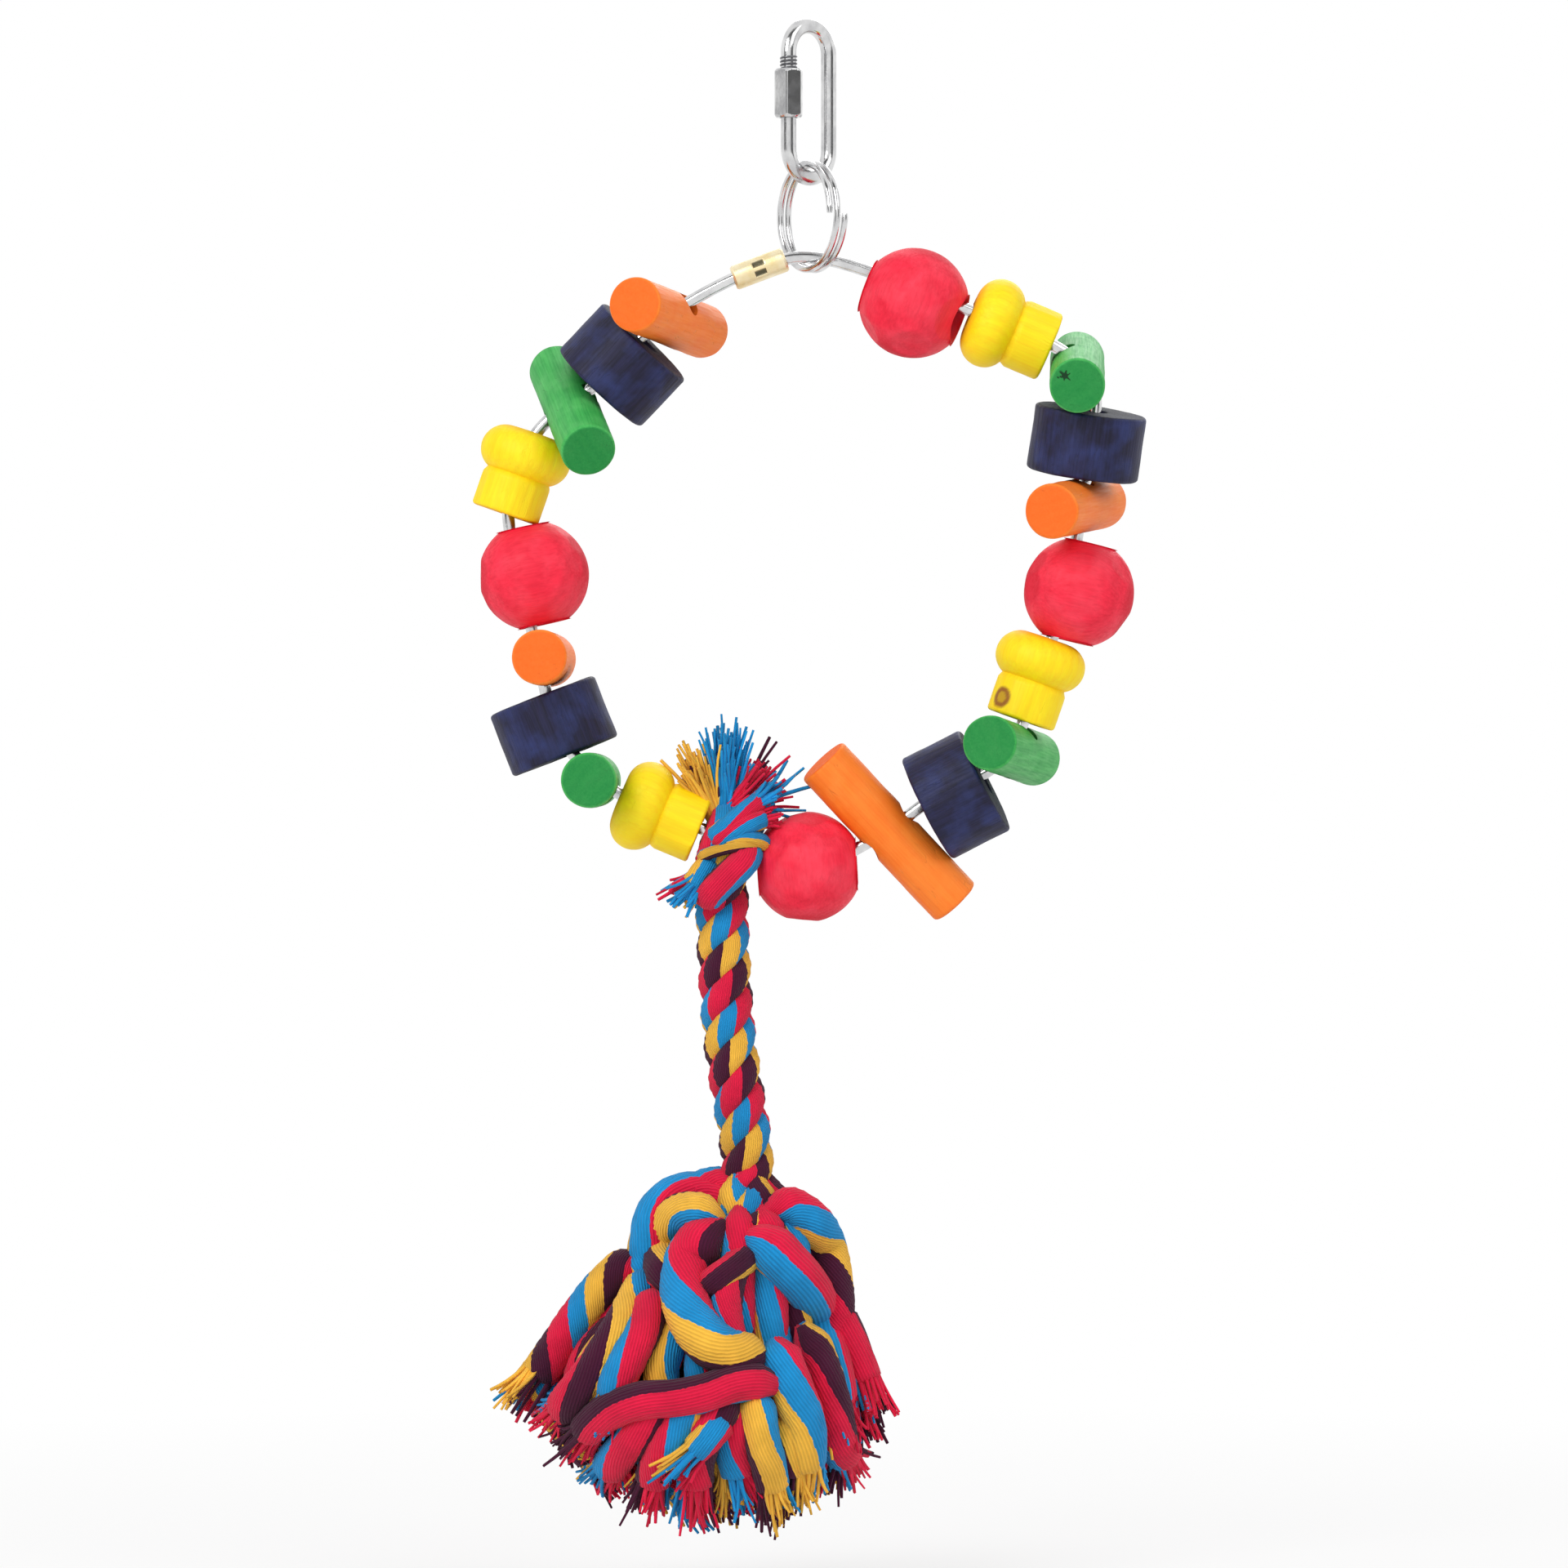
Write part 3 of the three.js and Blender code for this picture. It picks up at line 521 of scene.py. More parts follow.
# Each strand: its radius, the dye that faces the front where it starts, the order of its dyes, its stripe
# pitch, and its points: across, up, and how far it lies under the surface
FRONT_STRANDS = {
    "left_outer_loop": (4.6, 0.74, -1, 100, [
        (-2.7, -9.3, 10), (-5.7, -4.4, 9), (-10.5, -2.2, 8), (-16.6, -3.1, 6.5), (-20.6, -7.2, 5),
        (-22, -12.9, 5), (-22.8, -18.6, 6), (-22.6, -24, 8)]),
    "left_inner_loop": (4.4, 0.30, -1, 120, [
        (-5.1, -8.7, 3), (-10.2, -6.2, 0), (-15.7, -6.8, -2), (-19.2, -11, -3), (-19.4, -16, -3),
        (-17.9, -20.6, -1.5), (-16, -24.8, 3)]),
    "red_lobe": (5.5, 0.92, -1, 46, [
        (-4.5, -8.9, 1), (-8.7, -11.3, -1), (-12.7, -16.2, -2.5), (-13.9, -22.8, -3), (-12, -29.4, -3),
        (-8.1, -34.2, -2.5), (-3.9, -36.6, -1.5), (0, -37.7, 1), (2.7, -38.4, 6)]),
    "centre_strand": (3.6, 0.88, -1, 50, [
        (0.6, -14.3, 3), (-2.7, -18.6, 1), (-4.2, -24, 0), (-4.2, -30, 0.5), (-2.7, -34.8, 2),
        (0.6, -39, 5)]),
    "right_inner_loop": (5.6, 0.44, -1, 400, [
        (0, -11.3, 0), (3.9, -12.5, -2), (9.3, -18, -3), (13.5, -23.4, -3), (15.7, -28.8, -2),
        (16.6, -34.2, -1), (18.1, -40.2, 0), (19.3, -46.9, 1), (19.6, -50.5, 2)]),
    "right_outer_loop": (4.6, 0.60, -1, 38, [
        (3.9, -6.5, 3), (9.3, -5, 1), (14.4, -8, 0), (17.8, -13.7, 0), (19.3, -20.4, 0.5), (19.9, -26.4, 1),
        (20.2, -32.4, 2), (21.4, -38.4, 3)]),
    "top_back_loop": (4.2, 0.75, -1, 60, [
        (-0.9, -3.5, 9), (-5.7, -0.5, 8), (-10.5, -1.7, 7), (-13, -5.3, 8)]),
    "far_left": (4.4, 0.58, 1, 27, [
        (-23.2, -16.8, 3), (-28.6, -19.8, 2), (-34, -25.2, 1), (-39.4, -32.4, 0), (-44.3, -39.6, 0),
        (-47.9, -44.5, 0)]),
    "left_2": (4.4, 0.48, -1, 60, [
        (-21.4, -19.2, 4), (-25, -26.4, 2), (-29.2, -33.6, 1), (-34, -40.8, 0.5), (-38.8, -46.9, 0),
        (-41.3, -50.5, 0)]),
    "left_3": (4.2, 0.78, -1, 80, [
        (-20.2, -24, 3), (-22.6, -31.2, 2), (-25.9, -37.2, 1), (-28.6, -42.7, 1.5), (-29.8, -46.9, 3)]),
    "crossing": (4.3, 0.62, 1, 400, [
        (8.1, -44.5, 0), (2.7, -43, -1), (-2.7, -43.3, -1), (-8.7, -45.1, -1), (-15.4, -46.3, -1),
        (-22.6, -46.9, -1), (-28.6, -48.7, -1), (-33.4, -52, -0.5), (-36.4, -55.3, 0)]),
    "low_left": (4.2, 0.80, -1, 80, [
        (-17.2, -45.7, 2), (-20.2, -50.5, 1.5), (-24.4, -55.3, 1), (-28.6, -60.1, 1), (-31, -63.7, 1)]),
    "low_left_2": (4.2, 0.25, 1, 60, [
        (-10.5, -45.7, 2), (-14.2, -50.5, 1), (-17.2, -55.9, 0.5), (-19.6, -61.3, 0.5),
        (-21.1, -66.1, 0.5)]),
    "low_middle": (4.2, 0.85, -1, 90, [
        (-2.7, -45.7, 2), (-6.3, -50.5, 1), (-9.3, -55.3, 0.5), (-11.1, -60.7, 0.5), (-11.4, -66.7, 0.5)]),
    "low_right": (4.2, 0.20, -1, 150, [
        (2.1, -45.1, 1), (2.7, -50.5, 0), (3.6, -56.5, 0), (5.1, -62.5, 0), (5.7, -67.3, 0.5)]),
    "right_big": (5.0, 0.45, -1, 83, [
        (6.3, -34.2, 0), (8.1, -39.6, -1.5), (10.5, -45.7, -2), (12.6, -51.7, -2), (13.2, -57.7, -1),
        (12.9, -62.5, 0)]),
    "right_2": (4.4, 0.90, -1, 90, [
        (12.3, -31.2, 0), (15.4, -37.2, -0.5), (17.8, -43.9, -0.5), (19.6, -50.5, 0), (20.8, -57.1, 0),
        (22, -61.9, 0)]),
    "right_3": (4.2, 0.60, -1, 200, [
        (20.2, -28.8, 2), (22.6, -34.2, 1), (25, -40.2, 0.5), (26.8, -45.7, 0.5)]),
    "right_4": (4.0, 0.65, -1, 100, [
        (20.8, -39.6, 3), (22.6, -45.1, 2), (24.1, -50.5, 2)]),
    "bottom_1": (4.2, 0.60, -1, 90, [
        (-1.5, -46.9, 5), (-2.7, -52.9, 3), (-2.7, -58.9, 3), (-1.8, -64.3, 3)]),
    "bottom_2": (4.2, 0.10, -1, 90, [
        (8.1, -50.5, 4), (9.3, -57.7, 3), (9.9, -64.3, 3)]),
    "maroon_band": (3.3, 0.93, -1, 200, [
        (1.2, -15.6, 3), (-2.4, -17.8, -1), (-6.2, -20.2, -2), (-9.8, -23, 0)]),
    "blue_fray": (3.6, 0.38, -1, 120, [(-4.8, -51, 1), (-8.4, -55, -1), (-12, -58.6, -1.5)]),
}
KNOT_STRANDS = ("left_outer_loop", "left_inner_loop", "red_lobe", "centre_strand", "right_inner_loop",
                "right_outer_loop", "top_back_loop", "maroon_band")
LOOSE_LOOP = "right_inner_loop"
TASSEL_TOP = np.array([HITCH[0] + ROPE_SWAY[-1][0] * MM, 0, rope_top - ROPE_DROP - SEAT_GAP])
TASSEL_STEP = 1.3 * MM
# How far out a strand starts, as a share, and the drop after which it lies on the form
OUT_START = 0.35
OUT_DROP = 14


def is_tucked(key):
    """Whether a strand ends inside the bundle and so has no brush."""
    return key in KNOT_STRANDS and key != LOOSE_LOOP or key.startswith("core")


def tassel_row(depth):
    return [np.interp(depth, TASSEL_FORM[:, 0], TASSEL_FORM[:, k]) for k in (1, 2, 3)]


def on_the_front(points, radius):
    """Points seen from the front, laid on the front of the tassel's form."""
    placed = []
    for across, up, under in points:
        middle, width, thick = tassel_row(-up)
        share = min(1, abs(across - middle) / max(width - radius, 1))
        depth = (thick - radius - under) * math.sqrt(1 - share ** 2)
        placed.append((across, -depth, up))
    return placed


def down_the_back(angle, start, end, under, radius):
    """A strand that comes out of the knot and follows the form downwards at one angle."""
    placed = []
    for depth in np.linspace(start, end, 6):
        middle, width, thick = tassel_row(depth)
        out = min(1, OUT_START + (depth - start) / OUT_DROP)
        placed.append((middle + out * (width - radius - under) * math.cos(angle),
                       out * (thick - radius - under) * math.sin(angle), -depth))
    return placed


def tassel_path(points):
    placed = np.array(points) * MM + TASSEL_TOP
    return even_path(smooth_path(placed, 10), TASSEL_STEP)


# %% Strands of the knot and the skirt
BACK_STRANDS = 15
INNER_STRANDS = 16
BACK_TOPS = (14, 18, 22)
BACK_END = 60
INNER_TOP = 22
INNER_END = 64
INNER_UNDER = 7.5
# Each ring of the core: strands, radius and top. Each row of a core strand: share of the radius, and drop
CORE_RINGS = ((6, 5.2, 2), (11, 11.5, -5))
CORE_ROWS = ((0.75, 0), (1, 6), (1.1, 18), (1.1, 38))
STRAND_RADIUS = 4.2
# The width that is left at a strand's ends, and the shares of its way in which it goes thin
THIN_END = 0.35
TUCKED_SHARE = 0.12
FRAYED_SHARE = 0.03
chance = np.random.default_rng(7)

strand_paths = {}
for name, (radius, dye, hand, pitch, points) in FRONT_STRANDS.items():
    strand_paths[name] = (tassel_path(on_the_front(points, radius)), radius, dye, hand, pitch)


def plain_strand(name, points):
    """A strand without a drawn place: its dyes are left to chance."""
    phase = chance.uniform(0, 1)
    strand_paths[name] = (tassel_path(points), STRAND_RADIUS, phase, -1, chance.uniform(40, 90))


for i in range(BACK_STRANDS):
    angle = math.pi * (i + 0.5) / BACK_STRANDS
    end = BACK_END + chance.uniform(-4, 5)
    under = chance.uniform(0, 2)
    plain_strand(f"back_{i}", down_the_back(angle, BACK_TOPS[i % 3], end, under, STRAND_RADIUS))
for i in range(INNER_STRANDS):
    angle = 2 * math.pi * (i + 0.3) / INNER_STRANDS
    end = INNER_END + chance.uniform(-3, 5)
    under = INNER_UNDER + chance.uniform(0, 2)
    plain_strand(f"inner_{i}", down_the_back(angle, INNER_TOP, end, under, STRAND_RADIUS))
for count, ring, top in CORE_RINGS:
    for angle in 2 * math.pi * np.arange(count) / count:
        across, deep = ring * math.cos(angle), ring * math.sin(angle)
        rows = [(across * share, deep * share, top - drop) for share, drop in CORE_ROWS]
        plain_strand(f"core_{ring}_{angle:.2f}", rows)
print("tassel strands:", len(strand_paths))


def thin_ends(path, least, first, last):
    along = np.linspace(0, 1, len(path))
    ends = np.minimum(along / first, (1 - along) / last)
    return np.minimum(1, least + (1 - least) * ends)


def tassel_strands(name, chosen):
    """The chosen strands as one piece. They go thin where they run into the bundle, and keep their width
    where they fray."""
    swells = []
    for key in chosen:
        path, radius = strand_paths[key][:2]
        last = TUCKED_SHARE if is_tucked(key) else FRAYED_SHARE
        swells.append(thin_ends(path, THIN_END, TUCKED_SHARE, last) * radius / STRAND_RADIUS)
    paths, _, phases, hands, pitches = zip(*(strand_paths[key] for key in chosen))
    rates = [1 / (pitch * MM) for pitch in pitches]
    return strands(name, paths, STRAND_RADIUS * MM, phases, rates, hands, swells, sides=30,
                   ridge=STRAND_RIDGE, front=True)


knot_names = KNOT_STRANDS + tuple(key for key in strand_paths if key.startswith("core"))
knot = tassel_strands("tassel_loops", knot_names)
dress(knot, "rope", "cotton_rope", "tassel_knot")
skirt = tassel_strands("tassel_strands", [key for key in strand_paths if key not in knot_names])
dress(skirt, "rope", "cotton_rope", "tassel_skirt")

# %% Frayed yarn ends
THREADS_PER_END = 72
THREAD_RADIUS = 0.46 * MM
BRUSH_LENGTH = 11 * MM
BRUSH_SPREAD = 0.17
BRUSH_ROOT = 2.5 * MM
BRUSH_FILL = 0.9
THREAD_POINTS = 6
THREAD_REACH = (0.55, 1.1)
THREAD_LEAN = 0.35
THREAD_CURL = 0.1
THREAD_TAPER = (1.2, 0.7)
THREAD_WIDTH = (0.8, 1.2)
DYE_DRIFT = 0.02


def frayed(name, ends, seed):
    """Brushes of loose yarn. Each end: where it starts, its direction, radius, dye, how far the dye changes
    round the brush, length, spread and number of threads."""
    rng = np.random.default_rng(seed)
    paths, phases, swells = [], [], []
    for place, heading, radius, dye, change, length, spread, count in ends:
        heading = np.asarray(heading, float) / np.linalg.norm(heading)
        side = np.cross(heading, (0, -1, 0))
        if np.linalg.norm(side) < 0.1:
            side = np.cross(heading, (1, 0, 0))
        side /= np.linalg.norm(side)
        front = np.cross(side, heading)
        for _ in range(count):
            angle = rng.uniform(-math.pi, math.pi)
            rim = math.sqrt(rng.uniform(0, 1))
            out = front * math.cos(angle) + side * math.sin(angle)
            reach = length * rng.uniform(*THREAD_REACH)
            lean = spread * (rim + rng.normal(0, THREAD_LEAN))
            curl = rng.normal(0, THREAD_CURL, 3)
            t = np.linspace(0, 1, THREAD_POINTS)[:, None]
            path = (place + out * rim * radius * BRUSH_FILL - heading * BRUSH_ROOT + heading * reach * t
                    + out * lean * reach * t ** 1.5 + curl * reach * t ** 2)
            paths.append(path)
            phases.append(dye + change * angle / (2 * math.pi) + rng.normal(0, DYE_DRIFT))
            swells.append(np.linspace(*THREAD_TAPER, THREAD_POINTS) * rng.uniform(*THREAD_WIDTH))
    return strands(name, paths, THREAD_RADIUS, phases, [0.0] * len(paths), swells=swells, sides=4, ridge=0.0,
                   wrap=0.0)


ends = []
for key, (path, radius, dye, hand, pitch) in strand_paths.items():
    if is_tucked(key):
        continue
    length = np.linalg.norm(np.diff(path, axis=0), axis=1).sum()
    end_dye = dye + hand * length / (pitch * MM)
    ends.append((path[-1], path[-1] - path[-4], radius * MM, end_dye, hand, BRUSH_LENGTH, BRUSH_SPREAD,
                 THREADS_PER_END))
brushes = frayed("tassel_brushes", ends, 11)
dress(brushes, "rope", "cotton_rope", "tassel_skirt")

# %% [markdown]
# ## The hitch
# The rope is tied round the wire. One strand wraps the wire, a thick one crosses over it in front, thinner
# ones come out at the right, and the cut ends stand up as a tuft of yellow, blue and red yarn.

# %% Wraps round the wire and the strands in front of them
WRAP_RADIUS = 5.6 * MM
WRAP_STRAND = 3.4 * MM
WRAP_TURNS = 2.6
WRAP_PITCH = 3.0 * MM
WRAP_DYE = 0.7
WRAP_STRIPE = 60 * MM
FRONT_STRAND = 2.4 * MM
FRONT_RIDGE = 0.14 * MM
HITCH_ENDS = (0.45, 0.1, 0.1)
# Each strand: its radius, the dye that faces the front where it starts, the order of its dyes, its stripe
# pitch, and its points: to the right, to the front and up from the middle of the hitch
HITCH_STRANDS = [
    (3.4, 0.52, 1, 200, [
        (5.4, 4.5, -1), (4, 8.6, -4.2), (0.3, 9.6, -7.6), (-3.2, 8.2, -11), (-4.4, 4, -12.6)]),
    (2.3, 0.40, 1, 90, [(-3.6, 6.8, 0.6), (0, 8.4, 3.6), (4.5, 7.2, 7.2), (8.2, 5, 9.8)]),
    (2.4, 0.52, -1, 90, [(-2.8, 7.8, -0.4), (2, 8.8, 3), (6.2, 7.6, 4.8), (9, 5.6, 5.6)]),
    (1.9, 0.30, -1, 90, [(-2.4, 8.4, 0.2), (3.6, 8.8, 1.2), (7.4, 7.2, 0.4), (8.8, 4.6, -0.6)]),
    (1.4, 0.08, -1, 400, [(-6.2, 5.6, -3.2), (-2, 9, -1.6), (3.6, 9.4, -0.6), (7.4, 7, -0.6)]),
    (2.9, 0.36, -1, 90, [(-3.6, 4.6, -4.6), (-5.8, 6.6, -7.4), (-7.8, 6.8, -10)]),
]

wire_way = np.array(hitch_joint["axis"])
wire_way /= np.linalg.norm(wire_way)
hitch_front = np.array((0.0, -1.0, 0.0))
hitch_up = np.cross(wire_way, hitch_front)


def hitch_point(across, front, up):
    return HITCH + np.array((across, -front, up)) * MM


turn = np.linspace(0, WRAP_TURNS * 2 * math.pi, 90)
wrap_path = (HITCH + np.outer((turn / (2 * math.pi) - WRAP_TURNS / 2) * WRAP_PITCH, wire_way)
             + WRAP_RADIUS * (np.outer(np.cos(turn), hitch_front) + np.outer(np.sin(turn), hitch_up)))
hitch = strands("hitch_wraps", [wrap_path], WRAP_STRAND, [WRAP_DYE], [1 / WRAP_STRIPE],
                swells=[thin_ends(wrap_path, *HITCH_ENDS)], sides=30, ridge=STRAND_RIDGE)
dress(hitch, "rope", "cotton_rope", "rope_hitch")

front_paths = [even_path(smooth_path([hitch_point(*p) for p in row[4]], 10), ROPE_STEP)
               for row in HITCH_STRANDS]
hitch_strands = strands(
    "hitch_strands", front_paths, FRONT_STRAND, [row[1] for row in HITCH_STRANDS],
    [1 / (row[3] * MM) for row in HITCH_STRANDS], [row[2] for row in HITCH_STRANDS],
    [thin_ends(path, *HITCH_ENDS) * row[0] * MM / FRONT_STRAND
     for path, row in zip(front_paths, HITCH_STRANDS)],
    sides=30, ridge=FRONT_RIDGE, front=True)
dress(hitch_strands, "rope", "cotton_rope", "rope_hitch")

# %% The tuft of cut ends
# Each bunch: where it starts and where it points, to the right, to the front and up, its radius, dye, how
# far the dye changes, its length, spread and number of threads
TUFT = [
    ((-3, 1, 8), (-5.2, 0.6, 11), 2.5, 0.08, 0.12, 15, 0.24, 100),
    ((0, 1, 9), (0.4, 0.6, 12), 2.9, 0.34, 0.14, 18, 0.14, 130),
    ((-1.6, 0.5, 8), (-2.4, 0.2, 11), 1.6, 0.86, 0.1, 12, 0.3, 30),
    ((2.4, 1.5, 8.6), (7, 1, 6), 2.6, 0.55, 0.14, 12, 0.25, 70),
    ((2, 0.4, 9.5), (4, 0.2, 10), 1.6, 0.72, 0.2, 15, 0.35, 26),
    ((7.8, 5.2, 9.4), (6, -1, 3.4), 2.1, 0.38, 0.2, 8, 0.25, 40),
    ((8.8, 5.7, 5.5), (5, -1, 1.2), 2.2, 0.55, 0.15, 5, 0.2, 44),
    ((7, 4, 8), (9, 0, 2.4), 1.4, 0.30, 0.1, 14, 0.4, 7),
    ((-7.4, 6.8, -9.4), (-5, 0, -5), 2.8, 0.36, 0.5, 9, 0.25, 64),
]
tuft_ends = [(hitch_point(*start), np.array((aim[0], -aim[1], aim[2])), radius * MM, dye, change,
              length * MM, spread, count)
             for start, aim, radius, dye, change, length, spread, count in TUFT]
tuft = frayed("hitch_tuft", tuft_ends, 5)
dress(tuft, "rope", "cotton_rope", "rope_tuft")

# %% [markdown]
# ## Plated steel and brass
# The link, the ring and the hoop are drawn wire with a bright zinc plating. All three follow a path, so one
# tree sweeps them. The plating is not a mirror: it has soft clouds of roughness and fine specks.

# %% Steel and brass
CLOUD_SCALE = 260
SPECK_SCALE = 1500
SPECK_BUMP = 0.05 * MM
POLISH_SPREAD = (-0.05, 0.08)
# Dark colour that the crimp dents of the sleeve are painted towards: painted shade in the dents
DENT_SHADE_COLOUR = srgb(48, 50, 40)
CUT_END = 0.8


def plated_metal(name, base, shade, roughness):
    material, nodes, shader = new_material(name, Metallic=1.0)
    place = nodes.add("ShaderNodeTexCoord").outputs["Object"]
    cloud = nodes.noise(place, CLOUD_SCALE, 4)
    speck = nodes.noise(place, SPECK_SCALE, 3)
    # The attribute read here darkens the crimp dents of the sleeve: painted shade in the dents
    stain = nodes.add("ShaderNodeAttribute", attribute_name="stain").outputs["Fac"]
    tint = nodes.mix(nodes.remap(cloud, 0.35, 0.7), base, shade)
    tint = nodes.mix(stain, tint, DENT_SHADE_COLOUR)
    polish = nodes.remap(cloud, 0.3, 0.7, *(roughness + spread for spread in POLISH_SPREAD))
    wire_up(nodes, shader, Base_Color=tint, Roughness=polish, Normal=bumped(nodes, speck, SPECK_BUMP, 0.3))
    return material


STEEL = plated_metal("plated_steel", (0.74, 0.74, 0.74, 1), (0.50, 0.50, 0.51, 1), 0.16)
DARK_STEEL = plated_metal("thread_steel", (0.22, 0.22, 0.23, 1), (0.08, 0.08, 0.09, 1), 0.30)
BRASS = plated_metal("pale_brass", srgb(250, 238, 205), srgb(238, 216, 160), 0.42)


def wire_tree():
    nodes, given = geometry_tree("bent_wire", {"Radius": "Float", "Sides": "Int", "Material": "Material"})
    curve = nodes.add("GeometryNodeMeshToCurve", {"Mesh": given["Geometry"]})
    section = nodes.add("GeometryNodeCurvePrimitiveCircle",
                        {"Resolution": given["Sides"], "Radius": given["Radius"]})
    tube = nodes.add("GeometryNodeCurveToMesh", {
        "Curve": curve.outputs[0], "Profile Curve": section.outputs[0], "Scale": named(nodes, "swell"),
        "Fill Caps": True})
    return finish_tree(nodes, tube.outputs[0], given["Material"])


WIRE_TREE = wire_tree()


def bent_wire(name, paths, diameter, sides=24, metal=STEEL):
    """Wire of one thickness, with slightly rounded cut ends."""
    swells = []
    for path in paths:
        swell = np.ones(len(path))
        swell[0] = swell[-1] = CUT_END
        swells.append(swell)
    mesh = path_mesh(name, paths, swell=swells)
    return grown(name, mesh, WIRE_TREE, Radius=diameter / 2, Sides=sides, Material=metal)


def box_middle(node):
    low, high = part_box(node)
    return (np.array(low) + np.array(high)) / 2


# %% The quick link and its thread
LINK_WIRE = 3.5 * MM
BOW_RADIUS = 6.45 * MM
UPPER_BOW = -4.7 * MM
LOWER_BOW = -26.3 * MM
UPPER_END = -11.5 * MM
GATE_BOTTOM = -15.3 * MM
LINK_TURN = math.radians(45)
link_way = np.array((math.cos(LINK_TURN), math.sin(LINK_TURN), 0))


def link_point(across, up):
    return link_way * across + np.array((0, 0, up))


bow = np.linspace(0, math.pi, 28)
link_path = np.array(
    [link_point(-BOW_RADIUS, up) for up in np.linspace(UPPER_END, UPPER_BOW, 8)[:-1]]
    + [link_point(-BOW_RADIUS * math.cos(a), UPPER_BOW + BOW_RADIUS * math.sin(a)) for a in bow]
    + [link_point(BOW_RADIUS, up) for up in np.linspace(UPPER_BOW, LOWER_BOW, 12)[1:-1]]
    + [link_point(BOW_RADIUS * math.cos(a), LOWER_BOW - BOW_RADIUS * math.sin(a)) for a in bow]
    + [link_point(-BOW_RADIUS, up) for up in np.linspace(LOWER_BOW, GATE_BOTTOM, 8)[1:]])
link = bent_wire("quick_link_wire", [link_path], LINK_WIRE, 32)
dress(link, "quick_link", "plated_steel", "quick_link")

THREAD_PITCH = 0.8 * MM
THREAD_TURNS = 5.2
THREAD_START = 1.8 * MM
THREAD_WIRE = 0.5 * MM
spin = np.linspace(0, THREAD_TURNS * 2 * math.pi, 150)
leg = link_point(-BOW_RADIUS, UPPER_END)
screw_path = np.column_stack([
    leg[0] + LINK_WIRE / 2 * np.cos(spin), leg[1] + LINK_WIRE / 2 * np.sin(spin),
    leg[2] + THREAD_START + spin / (2 * math.pi) * THREAD_PITCH])
screw = bent_wire("quick_link_thread", [screw_path], THREAD_WIRE, 8, DARK_STEEL)
dress(screw, "quick_link", "plated_steel", "quick_link")

# %% The hexagon nut
NUT_LENGTH = 11 * MM
NUT_CORNERS = 7 * MM
NUT_BORE = 4.1 * MM
NUT_TURN = math.radians(-6)
CHAMFER_START = 0.80
CHAMFER_SLOPE = 0.9
CORNER_SHARE = 0.985


def ring_mesh(name, rows, columns, radius_at):
    """A closed body of revolution: each row gives a height and says which outline it follows."""
    points = []
    for row in rows:
        for column in range(columns):
            angle = 2 * math.pi * column / columns
            radius, height = radius_at(row, angle)
            points.append((radius * math.cos(angle), radius * math.sin(angle), height))
    faces = []
    for row in range(len(rows)):
        after = (row + 1) % len(rows)
        for column in range(columns):
            beside = (column + 1) % columns
            faces.append((row * columns + column, row * columns + beside,
                          after * columns + beside, after * columns + column))
    mesh = bpy.data.meshes.new(name)
    mesh.from_pydata(points, [], faces)
    return mesh


def finished(name, mesh, place, material, sharp=35):
    """Moves a mesh to its place, turns its faces outwards and makes it an object at the origin."""
    mesh.transform(place)
    body = bmesh.new()
    body.from_mesh(mesh)
    bmesh.ops.recalc_face_normals(body, faces=body.faces)
    body.to_mesh(mesh)
    body.free()
    mesh.shade_smooth()
    mesh.set_sharp_from_angle(angle=math.radians(sharp))
    mesh.materials.append(material)
    piece = bpy.data.objects.new(name, mesh)
    scene.collection.objects.link(piece)
    return piece


def nut_outline(row, angle):
    kind, height = row
    if kind == "bore":
        return NUT_BORE / 2, height
    corner = (angle + math.pi / 6) % (math.pi / 3) - math.pi / 6
    flat = NUT_CORNERS / 2 * math.cos(math.pi / 6) / math.cos(corner)
    chamfer = NUT_CORNERS / 2 * CHAMFER_START + (NUT_LENGTH / 2 - abs(height)) * CHAMFER_SLOPE
    return min(flat, chamfer, NUT_CORNERS / 2 * CORNER_SHARE), height


chamfer_rows = np.linspace(0.78, 0.98, 10)
nut_heights = NUT_LENGTH / 2 * np.concatenate([[-1], -chamfer_rows[::-1], [0], chamfer_rows, [1]])
nut_rows = [("side", h) for h in nut_heights] + [("bore", NUT_LENGTH / 2), ("bore", -NUT_LENGTH / 2)]
nut_place = Matrix.Translation(box_middle("link_nut").tolist()) @ Matrix.Rotation(NUT_TURN, 4, "Z")
nut_mesh = ring_mesh("quick_link_nut", nut_rows, 144, nut_outline)
nut = finished("quick_link_nut", nut_mesh, nut_place, STEEL, 20)
dress(nut, "link_nut", "plated_steel", "link_nut")

# %% The split ring
RING_RADIUS = 11.95 * MM
RING_WIRE = 1.5 * MM
RING_PITCH = 2.0 * MM
RING_TURN = math.radians(-60)
coil = np.linspace(0, 2, 161)
ring_middle = box_middle("split_ring")
across = RING_RADIUS * np.cos(2 * math.pi * coil)
deep = (coil - 1) * RING_PITCH
ring_path = ring_middle + np.column_stack([
    across * math.cos(RING_TURN) - deep * math.sin(RING_TURN),
    across * math.sin(RING_TURN) + deep * math.cos(RING_TURN),
    RING_RADIUS * np.sin(2 * math.pi * coil)])
ring = bent_wire("split_ring_coil", [ring_path], RING_WIRE, 20)
dress(ring, "split_ring", "plated_steel", "split_ring")

# %% The hoop
HOOP_WIRE = 2.8 * MM
